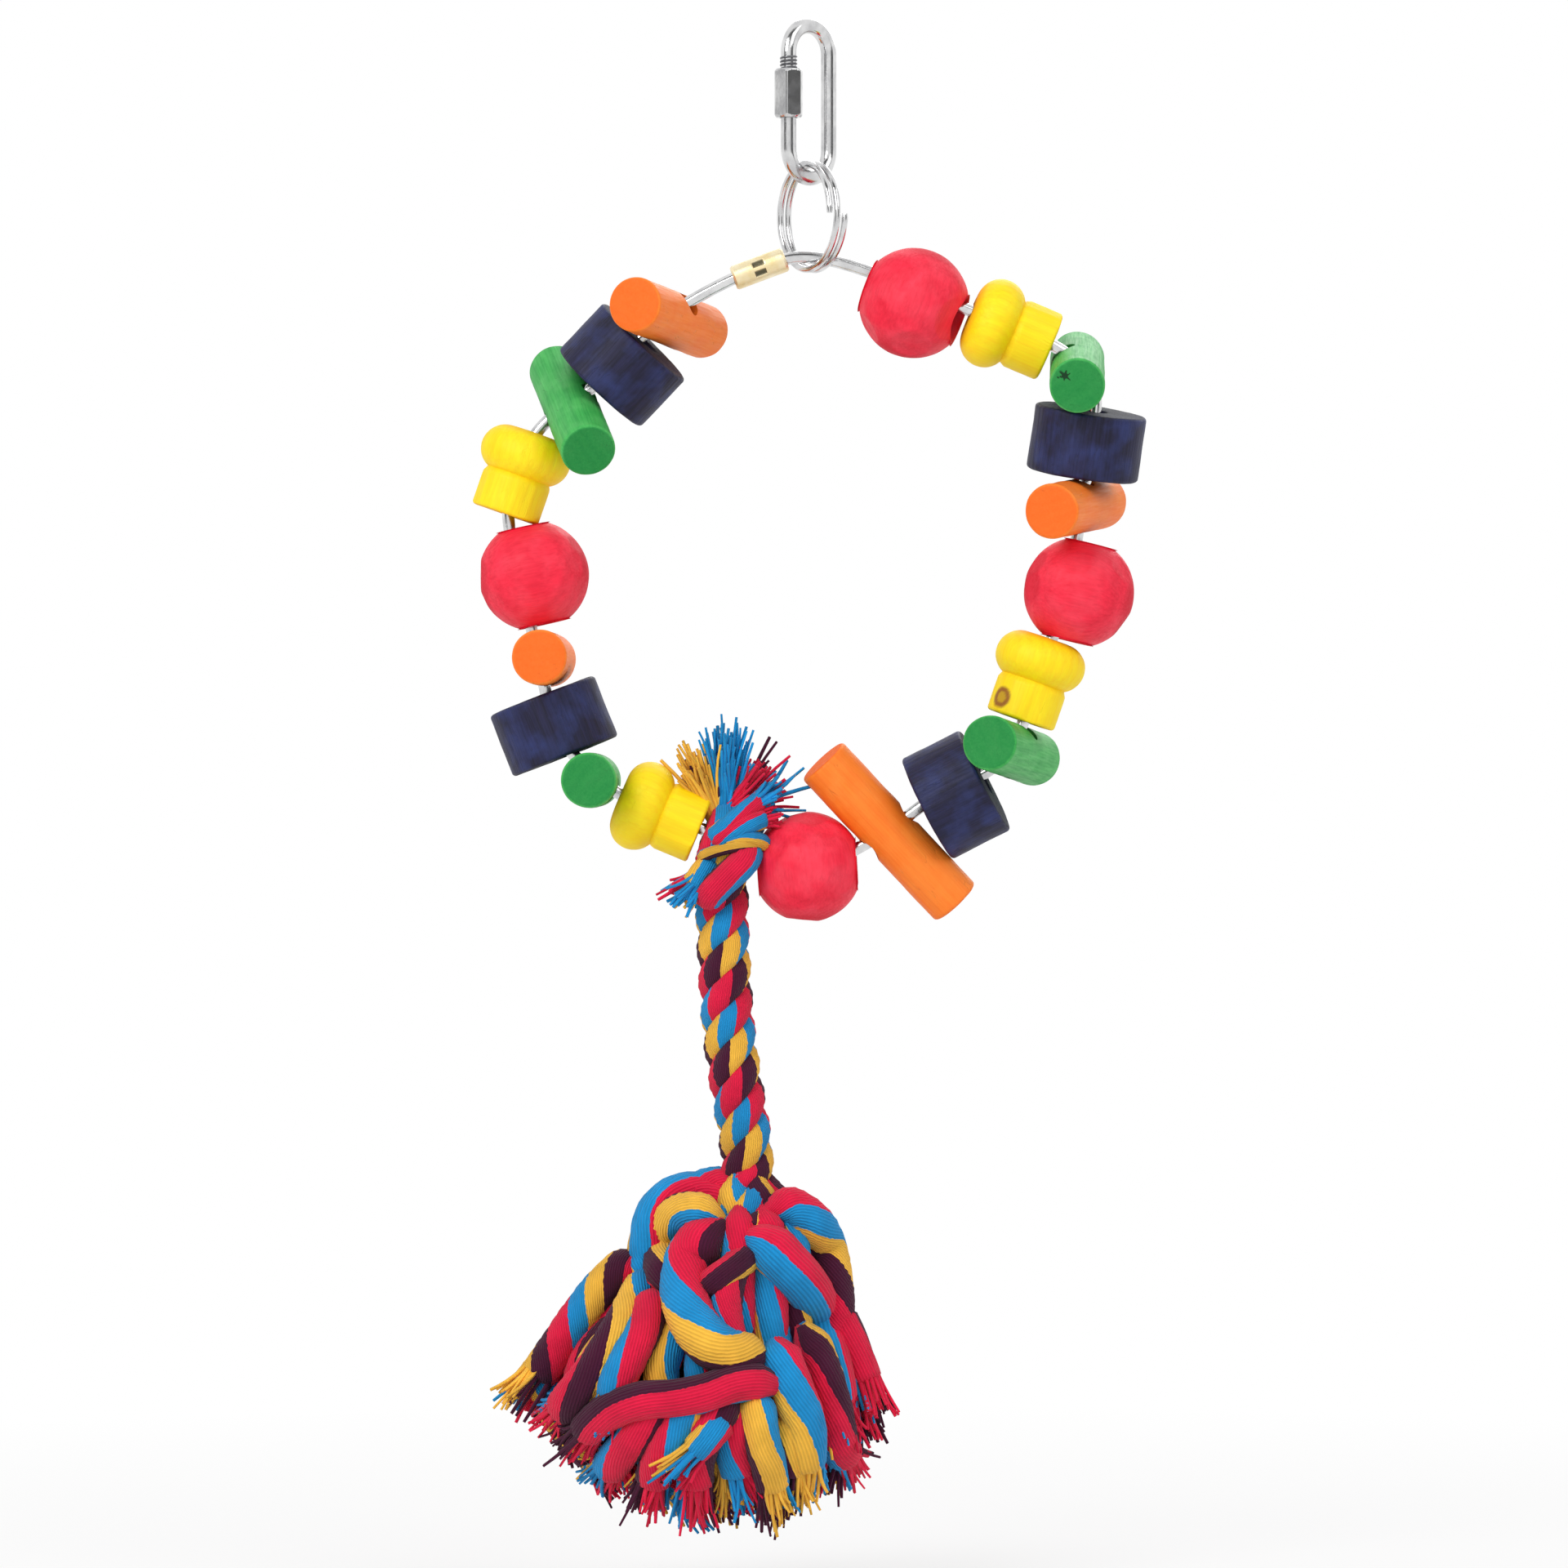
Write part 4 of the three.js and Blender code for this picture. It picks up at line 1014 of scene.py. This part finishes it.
# The middle of the wire seen from the front, from the hinge round to the right. The measured hoop scales it
HOOP_BEND = [
    (0, 0), (29.7, -9.6), (55.9, -21.5), (60.4, -28.5), (59.4, -39.7), (56.5, -60.1), (53.6, -74),
    (48.8, -87.5), (44.6, -99.8), (39.8, -107), (33, -111.2), (27.4, -113.6), (17, -120.8), (6.8, -126.4),
    (-3.5, -127.8), (-13.5, -125.3), (-30.2, -116.7), (-40.2, -113.2), (-52.8, -100.9), (-56.2, -88.9),
    (-59.8, -72), (-63.4, -51.7), (-57.3, -36.9), (-43.7, -25.9), (-31.8, -13.8), (-11.4, -2.6),
]
bend = smooth_path([(x, 0, z) for x, z in HOOP_BEND], 24, closed=True)[:-1]
hoop_low, hoop_high = (np.array(corner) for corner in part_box("hoop_wire"))
hoop_scale = (hoop_high[0] - hoop_low[0] - HOOP_WIRE) / np.ptp(bend[:, 0])
hoop_top = JOINTS["hoop"]["pos_m"][2]
hoop_path = bend * hoop_scale + np.array((0, 0, hoop_top))
sleeve_middle = box_middle("crimp_sleeve")
start = int(np.argmin(np.linalg.norm(hoop_path - sleeve_middle, axis=1)))
hoop_path = np.roll(hoop_path, -start, axis=0)
hoop = bent_wire("hoop_bent_wire", [hoop_path], HOOP_WIRE, 28)
dress(hoop, "hoop", "plated_steel", "hoop_wire")
print("hoop scale:", round(hoop_scale / MM, 4))

# %% The crimped sleeve
SLEEVE_LENGTH = 12.6 * MM
SLEEVE_RADIUS = 2.8 * MM
SLEEVE_BORE = 1.95 * MM
CRIMP_LENGTH = 2.6 * MM
CRIMP_WIDTH = 1.2 * MM
CRIMP_DEPTH = 0.4 * MM
CRIMP_SPREAD = 2.2 * MM
# How strongly the dents are darkened in colour: painted shade
CRIMP_SHADE_SHARE = 0.9
CRIMP_EDGE = (-0.1 * MM, 0.15 * MM)
SLEEVE_RIM = 0.5 * MM
RIM_SLOPE = 0.7


def vertex_places(mesh):
    flat = np.empty(len(mesh.vertices) * 3)
    mesh.vertices.foreach_get("co", flat)
    return flat.reshape(-1, 3)


def mark_values(mesh, name, values):
    """Stores one number, or one vector, for each point of a mesh."""
    values = np.asarray(values, np.float32)
    kind, field = ("FLOAT", "value") if values.ndim == 1 else ("FLOAT_VECTOR", "vector")
    mesh.attributes.new(name, kind, "POINT").data.foreach_set(field, values.ravel())


def smoothed(value, low, high):
    share = np.clip((value - low) / (high - low), 0, 1)
    return share * share * (3 - 2 * share)


def node_points(node):
    """The corners of a measured node, at their places."""
    return vertex_places(bpy.data.objects[node].data)


def long_way(node):
    """The direction in which a measured node is longest."""
    points = node_points(node)
    return np.linalg.svd(points - points.mean(axis=0), full_matrices=False)[2][0]


def axes(first, second):
    """A turn that takes X, Y, Z to: across, the second direction, and the first."""
    up = Vector(first).normalized()
    side = Vector(second)
    side = (side - up * side.dot(up)).normalized()
    return Matrix((side.cross(up), side, up)).transposed().to_4x4()


def crimped(across, front, height):
    """One inside the two marks of the pliers, which lie side by side on the sleeve's front."""
    beside = CRIMP_WIDTH / 2 - np.abs(np.abs(across) - CRIMP_SPREAD / 2)
    lengthwise = CRIMP_LENGTH / 2 - np.abs(height)
    return smoothed(np.minimum(beside, lengthwise), *CRIMP_EDGE) * (front > 0)


def sleeve_outline(row, angle):
    kind, height = row
    if kind == "bore":
        return SLEEVE_BORE, height
    mark = crimped(SLEEVE_RADIUS * math.cos(angle), math.sin(angle), height)
    rim = max(0, abs(height) - SLEEVE_LENGTH / 2 + SLEEVE_RIM)
    return SLEEVE_RADIUS - CRIMP_DEPTH * mark - rim * RIM_SLOPE, height


sleeve_rows = [("side", h) for h in np.linspace(-0.5, 0.5, 100) * SLEEVE_LENGTH]
sleeve_rows += [("bore", h) for h in np.linspace(0.5, -0.5, 5) * SLEEVE_LENGTH]
sleeve_place = Matrix.Translation(sleeve_middle.tolist()) @ axes(long_way("crimp_sleeve"), (0, -1, 0))
sleeve_mesh = ring_mesh("crimped_sleeve", sleeve_rows, 144, sleeve_outline)
across, front, height = vertex_places(sleeve_mesh).T
# The marks of the pliers are also darkened in colour: painted shade in the dents
mark_values(sleeve_mesh, "stain", crimped(across, front, height) * CRIMP_SHADE_SHARE)
sleeve = finished("crimped_sleeve", sleeve_mesh, sleeve_place, BRASS)
dress(sleeve, "hoop", "brass", "crimp_sleeve")

# %% [markdown]
# ## Dyed wood
# The beads are turned from pale wood and dipped in vegetable dye. The dye goes deep into soft fibres and
# end grain and stays thin on hard rings, and a parrot's toy is knocked about, so the edges are a little
# soft. Every bead keeps its own grain coordinates, with X along the fibres, in millimetres. One shader group
# reads them and serves all five dyes.

# %% The wood grain group
RING_WARP = 2.2
WARP_STRETCH = (0.03, 0.09, 0.09)
BLOTCH_SCALE = 0.16
FIBRE_STRETCH = (0.05, 1, 1)
VEIN_STRETCH = (0.1, 0.75, 0.75)
SPLIT_WIDTH = (0.004, 0.014)
SPLIT_PATCH = (0.52, 0.62)
FIBRE_HEIGHT = 0.6
RING_HEIGHT = 0.25
WOOD_BUMP = 0.35 * MM
# How much dye the fibres, the rings and the end grain take up, and how much of the thin dye shows
FIBRE_SOAK = 0.55
RING_SOAK = 0.25
END_SOAK = 0.75
THIN_SHARE = 0.5
WOOD_POLISH = (0.47, 0.65)
END_ROUGHNESS = 0.15
CRACK_SHADE = (0.22, 0.18, 0.18, 1)
KNOT_DYE = srgb(150, 92, 22)


def wood_group():
    tree = bpy.data.node_groups.new("dyed_wood_grain", "ShaderNodeTree")
    for label, kind in (("Grain", "Vector"), ("Ring Spacing", "Float"), ("Fibre Width", "Float")):
        tree.interface.new_socket(label, in_out="INPUT", socket_type=f"NodeSocket{kind}")
    for label in ("Rings", "Fibre", "Blotch", "Split", "Height"):
        tree.interface.new_socket(label, in_out="OUTPUT", socket_type="NodeSocketFloat")
    nodes = NodeMaker(tree)
    given = tree.nodes.new("NodeGroupInput").outputs
    grain = given["Grain"]
    drift = nodes.vector("MULTIPLY", grain, WARP_STRETCH)
    warp = nodes.noise(drift, 1, 2)
    flat = nodes.vector("MULTIPLY", grain, (0, 1, 1))
    from_pith = nodes.math("DIVIDE", nodes.vector("LENGTH", flat), given["Ring Spacing"])
    ring_place = nodes.math("ADD", from_pith, nodes.math("MULTIPLY", warp, RING_WARP))
    ring_turn = nodes.math("MULTIPLY", ring_place, 2 * math.pi)
    rings = nodes.remap(nodes.math("SINE", ring_turn), -1, 1)
    thin = nodes.vector("DIVIDE", nodes.vector("MULTIPLY", grain, FIBRE_STRETCH), nodes.add(
        "ShaderNodeCombineXYZ", {k: given["Fibre Width"] for k in ("X", "Y", "Z")}).outputs[0])
    fibre = nodes.noise(thin, 1, 5, Roughness=0.6)
    blotch = nodes.noise(grain, BLOTCH_SCALE, 3)
    drawn = nodes.vector("MULTIPLY", grain, VEIN_STRETCH)
    veins = nodes.noise(drawn, 1, 1)
    from_vein = nodes.math("ABSOLUTE", nodes.math("SUBTRACT", veins, 0.5))
    patch = nodes.remap(blotch, *SPLIT_PATCH)
    split = nodes.math("MULTIPLY", nodes.remap(from_vein, *SPLIT_WIDTH, 1, 0), patch)
    height = nodes.math("SUBTRACT", nodes.math("ADD", nodes.math("MULTIPLY", fibre, FIBRE_HEIGHT),
                                               nodes.math("MULTIPLY", rings, RING_HEIGHT)), split)
    nodes.add("NodeGroupOutput", {
        "Rings": rings, "Fibre": fibre, "Blotch": blotch, "Split": split, "Height": height})
    return tree


WOOD_GRAIN = wood_group()


def dyed_wood(name, dye, deep, thin_dye, ring_spacing, fibre_width, contrast, splits):
    """Dye is the plain colour, deep is soaked end grain, and thin dye shows where little dye went in."""
    material, nodes, shader = new_material(name, Specular_IOR_Level=0.35)
    marks = {mark: nodes.add("ShaderNodeAttribute", attribute_name=mark).outputs
             for mark in ("grain", "ends", "crack", "knot")}
    wood = nodes.add("ShaderNodeGroup", node_tree=WOOD_GRAIN)
    nodes.tree.links.new(marks["grain"]["Vector"], wood.inputs["Grain"])
    wood.inputs["Ring Spacing"].default_value = ring_spacing
    wood.inputs["Fibre Width"].default_value = fibre_width
    out = wood.outputs
    ends = marks["ends"]["Fac"]
    soaked = nodes.math("ADD", nodes.remap(out["Fibre"], 0.35, 0.7, 0.0, FIBRE_SOAK * contrast),
                        nodes.remap(out["Rings"], 0, 1, 0.0, RING_SOAK * contrast))
    base = nodes.mix(soaked, dye, deep)
    base = nodes.mix(nodes.remap(out["Blotch"], 0.42, 0.75, 0, THIN_SHARE * contrast), base, thin_dye)
    base = nodes.mix(nodes.math("MULTIPLY", ends, END_SOAK), base, deep)
    dark = nodes.mix(1.0, deep, CRACK_SHADE, "MULTIPLY")
    crack = nodes.remap(marks["crack"]["Fac"], 0.3, 0.7)
    opened = nodes.math("MAXIMUM", nodes.math("MULTIPLY", out["Split"], splits), crack)
    base = nodes.mix(opened, base, dark)
    base = nodes.mix(nodes.remap(marks["knot"]["Fac"], 0.2, 0.8), base, KNOT_DYE)
    fibre_polish = nodes.remap(out["Fibre"], 0.3, 0.7, *WOOD_POLISH)
    polish = nodes.math("ADD", fibre_polish, nodes.math("MULTIPLY", ends, END_ROUGHNESS))
    wire_up(nodes, shader, Base_Color=base, Roughness=polish,
            Normal=bumped(nodes, out["Height"], WOOD_BUMP, 0.4))
    return material


# Each kind of bead: its finish, its three colours, ring spacing, fibre width, contrast and splits
DYES = {
    "red_ball": ("red_wood", (244, 36, 66), (206, 4, 40), (255, 84, 104), 3.4, 0.6, 0.85, 0.0),
    "yellow_spool": ("yellow_wood", (254, 224, 0), (248, 190, 0), (255, 238, 30), 2.2, 0.5, 0.7, 0.0),
    "green_dowel": ("green_wood", (62, 178, 80), (8, 122, 54), (108, 206, 116), 2.4, 0.5, 0.8, 0.3),
    "blue_block": ("blue_wood", (26, 26, 66), (8, 6, 30), (48, 62, 124), 2.0, 0.45, 1.2, 0.3),
    "orange_dowel": ("orange_wood", (250, 130, 34), (240, 98, 16), (255, 158, 66), 2.4, 0.5, 0.7, 0.15),
}
WOODS = {kind: dyed_wood(row[0], *(srgb(*colour) for colour in row[1:4]), *row[4:])
         for kind, row in DYES.items()}
print("dyes:", ", ".join(row[0] for row in DYES.values()))

# %% Seats of the beads on the wire
SWELL_SIZE = 7 * MM
SMALL_SWELL_SIZE = 2.2 * MM
SMALL_SWELL = 0.4
BEAD_EDGE = 0.8
BEAD_SHARP = 50
# How far a face looks along the fibres before it shows end grain
END_GRAIN = (0.75, 0.95)


def arc(middle, height, radius, first, last, count):
    """Points of a round edge: radius from the bead's axis and height, from one angle to another."""
    return [(middle + radius * math.cos(a), height + radius * math.sin(a))
            for a in np.radians(np.linspace(first, last, count))]


def rounded_side(radius, half, rows):
    """The straight side of a turned piece with its two soft edges."""
    core = radius - BEAD_EDGE
    straight = np.linspace(2 * BEAD_EDGE - half, half - 2 * BEAD_EDGE, rows)
    return (arc(core, BEAD_EDGE - half, BEAD_EDGE, -90, 0, 7) + [(radius, h) for h in straight]
            + arc(core, half - BEAD_EDGE, BEAD_EDGE, 0, 90, 7))


def lathe(name, profile, columns):
    return ring_mesh(name, profile, columns, lambda row, angle: row)


def bead_seat(node, head_first=False):
    """The bead's own frame: Z along its bore, Y to the front and X across."""
    joint = JOINTS[node]
    along = np.array(joint["axis"], float)
    if head_first:
        along = -along
    return Matrix.Translation(joint["pos_m"]) @ axes(along, (0, -1, 0))


def dowel_seat(node):
    joint = JOINTS[node]
    rod = long_way(node)
    if rod[1] > 0:
        rod = -rod
    return Matrix.Translation(joint["pos_m"]) @ axes(joint["axis"], rod)


def head_is_first(node):
    """Whether a spool's wide head points against its joint's axis."""
    joint = JOINTS[node]
    along = np.array(joint["axis"], float)
    offset = node_points(node) - np.array(joint["pos_m"])
    height = offset @ along
    radius = np.linalg.norm(offset - np.outer(height, along), axis=1)
    return height[radius > radius.max() - 1 * MM].mean() < 0


def make_wood(mesh, fibre_axis, seed, wobble, crack=None, knot=None):
    """Uneven surface, grain coordinates, end grain and flaws of one bead, in its own frame. Crack and knot
    are functions of the places in millimetres."""
    rng = np.random.default_rng(seed)
    points = vertex_places(mesh)
    normals = np.empty(points.size)
    mesh.vertices.foreach_get("normal", normals)
    normals = normals.reshape(-1, 3)
    shift = rng.uniform(-50, 50, 3)
    swell = np.array([noise.noise(Vector(p / SWELL_SIZE + shift))
                      + SMALL_SWELL * noise.noise(Vector(p / SMALL_SWELL_SIZE - shift)) for p in points])
    points = points + normals * (swell * wobble * MM)[:, None]
    mesh.vertices.foreach_set("co", points.ravel())
    order = {"X": (0, 1, 2), "Y": (1, 2, 0), "Z": (2, 0, 1)}[fibre_axis]
    away = np.array((rng.uniform(-400, 400), rng.uniform(10, 22), rng.uniform(-9, 9)))
    mark_values(mesh, "grain", points[:, order] / MM + away)
    mark_values(mesh, "ends", smoothed(np.abs(normals[:, order[0]]), *END_GRAIN))
    for mark, flaw in (("crack", crack), ("knot", knot)):
        if flaw:
            mark_values(mesh, mark, flaw(points / MM))
    mesh.update()


def carve(mesh, cuts, top=math.inf):
    """Flat knife cuts: whatever stands past a plane is pressed down to it, up to a height. Each cut is a
    direction and a distance from the middle, in millimetres."""
    points = vertex_places(mesh)
    for direction, distance in cuts:
        way = np.asarray(direction, float)
        way /= np.linalg.norm(way)
        past = (points @ way - distance * MM) * (points[:, 2] < top * MM)
        points -= np.outer(np.maximum(past, 0), way)
    mesh.vertices.foreach_set("co", points.ravel())
    mesh.update()


def string_bead(node, form, mesh, seat, sharp=BEAD_SHARP):
    """Puts a finished bead in its seat, in the dye of its kind."""
    kind = node[:-2]
    bead = finished(f"{node}_{form}", mesh, seat, WOODS[kind], sharp)
    dress(bead, node, DYES[kind][0], node)


# %% [markdown]
# ### Balls
# The red balls have a bore that is much wider than the wire, so they hang off centre. Their skin has flat
# places from the knife and the tumbler. A lathe profile gives the round form with its softened bore edge,
# and planes press the flats into it.

# %% Red balls
BALL_RADIUS = 12.5
BALL_BORE = 5.0
BALL_LIP = 1.5


def ball_profile():
    edge = math.degrees(math.acos((BALL_BORE + BALL_LIP * 0.5) / BALL_RADIUS))
    top = BALL_RADIUS * math.sin(math.radians(edge))
    outside = arc(0, 0, BALL_RADIUS, -edge, edge, 72)
    lip = arc(BALL_BORE + BALL_LIP, top - BALL_LIP * 0.9, BALL_LIP, 100, 180, 6)
    bore = [(BALL_BORE, h) for h in np.linspace(top - 2, 2 - top, 8)]
    low_lip = [(r, -h) for r, h in reversed(lip)]
    return [(r * MM, h * MM) for r, h in outside + lip + bore + low_lip]


# The flats that show on the first ball: direction as seen from the front, and depth in millimetres
FIRST_BALL_FLATS = [
    ((0.70, -0.62, -0.36), 1.0), ((-0.07, -0.56, -0.83), 0.9), ((-0.85, -0.18, -0.49), 0.6),
    ((-0.14, -0.92, 0.37), 0.45), ((-0.70, -0.69, -0.18), 0.4), ((-0.14, -0.93, -0.35), 0.35),
    ((0.45, -0.85, 0.28), 0.35),
]
BALL_FLATS = 22
FLAT_DEPTH = (0.15, 0.6)
BORE_SHARE = 0.7


def ball_cuts(seed, shown, seat):
    """The flats of a ball in its own frame: those shown, or, where none are shown, others anywhere but round
    the bore.
    """
    rng = np.random.default_rng(seed)
    turn = np.array(seat.to_3x3())
    cuts = [(np.array(way) @ turn, BALL_RADIUS - depth) for way, depth in shown]
    for _ in range(BALL_FLATS):
        way = rng.normal(size=3)
        depth = rng.uniform(*FLAT_DEPTH)
        if not shown and abs(way[2]) / np.linalg.norm(way) < BORE_SHARE:
            cuts.append((way, BALL_RADIUS - depth))
    return cuts


for i in range(1, 5):
    node = f"red_ball_{i}"
    mesh = lathe(node, ball_profile(), 160)
    seat = bead_seat(node)
    carve(mesh, ball_cuts(40 + i, FIRST_BALL_FLATS if i == 1 else [], seat))
    make_wood(mesh, "X", 100 + i, wobble=0.07)
    string_bead(node, "turned", mesh, seat)

# %% [markdown]
# ### Spools, blocks and dowels
# The spools have a round head and a plain body with a turned groove between them. The blocks are slices of a
# thick rod. The dowels are cut from a thinner rod and drilled across, so their fibres run along the dowel.

# %% Yellow spools
SPOOL_LENGTH = 19.6
SPOOL_BODY = 8.0
SPOOL_BORE = 2.7
HEAD_RADIUS = 10.4
HEAD_LENGTH = 11.0
SPOOL_WAIST = 7.4


def spool_profile():
    low = -SPOOL_LENGTH / 2
    rounding = HEAD_LENGTH / 2
    head_middle = SPOOL_LENGTH / 2 - rounding
    core = HEAD_RADIUS - rounding
    waist = math.degrees(math.acos((SPOOL_WAIST - core) / rounding))
    groove_height = head_middle - rounding * math.sin(math.radians(waist))
    profile = [(SPOOL_BORE + 0.5, low)]
    profile += arc(SPOOL_BODY - BEAD_EDGE, low + BEAD_EDGE, BEAD_EDGE, -90, 0, 7)
    profile += [(SPOOL_BODY, h) for h in np.linspace(low + 2 * BEAD_EDGE, groove_height - 1.2, 14)]
    profile += [(SPOOL_BODY - 0.25, groove_height - 0.7), (SPOOL_WAIST + 0.1, groove_height - 0.2)]
    profile += arc(core, head_middle, rounding, -waist, 90, 40)
    profile += [(SPOOL_BORE + 0.6, SPOOL_LENGTH / 2), (SPOOL_BORE, SPOOL_LENGTH / 2 - 0.5)]
    profile += [(SPOOL_BORE, h) for h in np.linspace(SPOOL_LENGTH / 2 - 2, low + 2, 6)]
    profile.append((SPOOL_BORE, low + 0.4))
    return [(r * MM, h * MM) for r, h in profile]


# The brown knot low on the left of the second spool's body, and the flats along the bodies
KNOT_MIDDLE = np.array((5.9, 5.4, -6.3))
KNOT_RADIUS = 1.8
BODY_TOP = SPOOL_LENGTH / 2 - HEAD_LENGTH
BODY_FLATS = 5


def spool_knot(points):
    away = np.linalg.norm(points - KNOT_MIDDLE, axis=1)
    rim = 1 - smoothed(np.abs(away - KNOT_RADIUS), 0.3, 1.2)
    return np.maximum(0.8 * rim, 0.6 * (1 - smoothed(away, KNOT_RADIUS, 2 * KNOT_RADIUS)))


for i in range(1, 5):
    node = f"yellow_spool_{i}"
    mesh = lathe(node, spool_profile(), 112)
    rng = np.random.default_rng(60 + i)
    turns = rng.uniform(0, 2 * math.pi, BODY_FLATS)
    flats = [((math.cos(turn), math.sin(turn), 0), SPOOL_BODY - rng.uniform(0.1, 0.35)) for turn in turns]
    carve(mesh, flats, BODY_TOP)
    make_wood(mesh, "Z", 200 + i, wobble=0.08, knot=spool_knot if i == 2 else None)
    string_bead(node, "turned", mesh, bead_seat(node, head_is_first(node)))

# %% Blue blocks
BLOCK_RADIUS = 12.7
BLOCK_LENGTH = 14.8
BLOCK_BORE = 3.25


def block_profile():
    half = BLOCK_LENGTH / 2
    profile = [(BLOCK_BORE + 0.5, -half)]
    profile += [(r, -half) for r in np.linspace(BLOCK_BORE + 1.5, BLOCK_RADIUS - 1.2, 10)]
    profile += rounded_side(BLOCK_RADIUS, half, 16)
    profile += [(r, half) for r in np.linspace(BLOCK_RADIUS - 1.2, BLOCK_BORE + 1.5, 10)]
    profile += [(BLOCK_BORE + 0.5, half), (BLOCK_BORE, half - 0.5)]
    profile += [(BLOCK_BORE, h) for h in np.linspace(half - 2, 2 - half, 6)]
    profile.append((BLOCK_BORE, 0.5 - half))
    return [(r * MM, h * MM) for r, h in profile]


for i in range(1, 5):
    node = f"blue_block_{i}"
    mesh = lathe(node, block_profile(), 112)
    make_wood(mesh, "Z", 300 + i, wobble=0.1)
    string_bead(node, "turned", mesh, bead_seat(node))

# %% Green and orange dowels
DOWEL_RADIUS = 6.2
DOWEL_LENGTH = 44.5
DOWEL_BORE = 3.25
DOWEL_SHARP = 40
DOWEL_CENTRE = 0.02
DRILL_LENGTH = 30 * MM
ROD_AXIS = 0.1 * MM
WELD = 0.05 * MM

# The star crack in the front end of the first green dowel: its middle, and each arm's heading and length
STAR = (-0.9, -3.4)
STAR_ARMS = [(10, 1.3), (75, 1.6), (140, 1.2), (205, 2.0), (262, 2.9), (320, 1.5)]
ARM_WIDTH = 0.3
STAR_HEART = (0.35, 0.8)


def star_crack(points):
    across, front, up = points.T
    across = across - STAR[0]
    up = up - STAR[1]
    mark = 1 - smoothed(np.hypot(across, up), *STAR_HEART)
    for heading, length in STAR_ARMS:
        angle = math.radians(heading)
        along = across * math.cos(angle) + up * math.sin(angle)
        beside = np.abs(up * math.cos(angle) - across * math.sin(angle))
        width = ARM_WIDTH * (1.3 - along / length)
        arm = (1 - smoothed(beside, width * 0.5, width + 0.1)) * (along > 0) * (along < length)
        mark = np.maximum(mark, arm)
    return mark * (front > DOWEL_LENGTH / 2 - 0.4)


def dowel_mesh(name):
    """A rod along Y with soft edges, drilled across along Z."""
    half = DOWEL_LENGTH / 2
    profile = [(DOWEL_CENTRE, -half)]
    profile += [(r, -half) for r in np.linspace(0.4, DOWEL_RADIUS - 1, 18)]
    profile += rounded_side(DOWEL_RADIUS, half, 46)
    profile += [(r, half) for r in np.linspace(DOWEL_RADIUS - 1, 0.4, 18)]
    profile.append((DOWEL_CENTRE, half))
    rod = lathe(name, [(r * MM, h * MM) for r, h in profile], 72)
    body = bmesh.new()
    body.from_mesh(rod)
    body.verts.ensure_lookup_table()
    inner = [f for f in body.faces if all((v.co.x ** 2 + v.co.y ** 2) < ROD_AXIS ** 2 for v in f.verts)]
    bmesh.ops.delete(body, geom=inner, context="FACES_ONLY")
    bmesh.ops.remove_doubles(body, verts=body.verts, dist=WELD)
    bmesh.ops.rotate(body, verts=body.verts, cent=(0, 0, 0), matrix=Matrix.Rotation(-math.pi / 2, 3, "X"))
    bmesh.ops.recalc_face_normals(body, faces=body.faces)
    body.to_mesh(rod)
    body.free()
    holder = bpy.data.objects.new(name, rod)
    scene.collection.objects.link(holder)
    drill = bpy.data.meshes.new("drill")
    tool = bmesh.new()
    bore = DOWEL_BORE * MM
    bmesh.ops.create_cone(tool, cap_ends=True, segments=48, radius1=bore, radius2=bore, depth=DRILL_LENGTH)
    tool.to_mesh(drill)
    tool.free()
    bit = bpy.data.objects.new("drill", drill)
    scene.collection.objects.link(bit)
    hole = holder.modifiers.new("hole", "BOOLEAN")
    hole.object = bit
    hole.solver = "EXACT"
    ready = holder.evaluated_get(bpy.context.evaluated_depsgraph_get())
    mesh = bpy.data.meshes.new_from_object(ready)
    bpy.data.objects.remove(holder)
    bpy.data.objects.remove(bit)
    mesh.materials.clear()
    return mesh


for kind, seed in (("green_dowel", 400), ("orange_dowel", 500)):
    for i in range(1, 5):
        node = f"{kind}_{i}"
        mesh = dowel_mesh(node)
        make_wood(mesh, "Y", seed + i, wobble=0.1, crack=star_crack if node == "green_dowel_1" else None)
        string_bead(node, "rod", mesh, dowel_seat(node), DOWEL_SHARP)
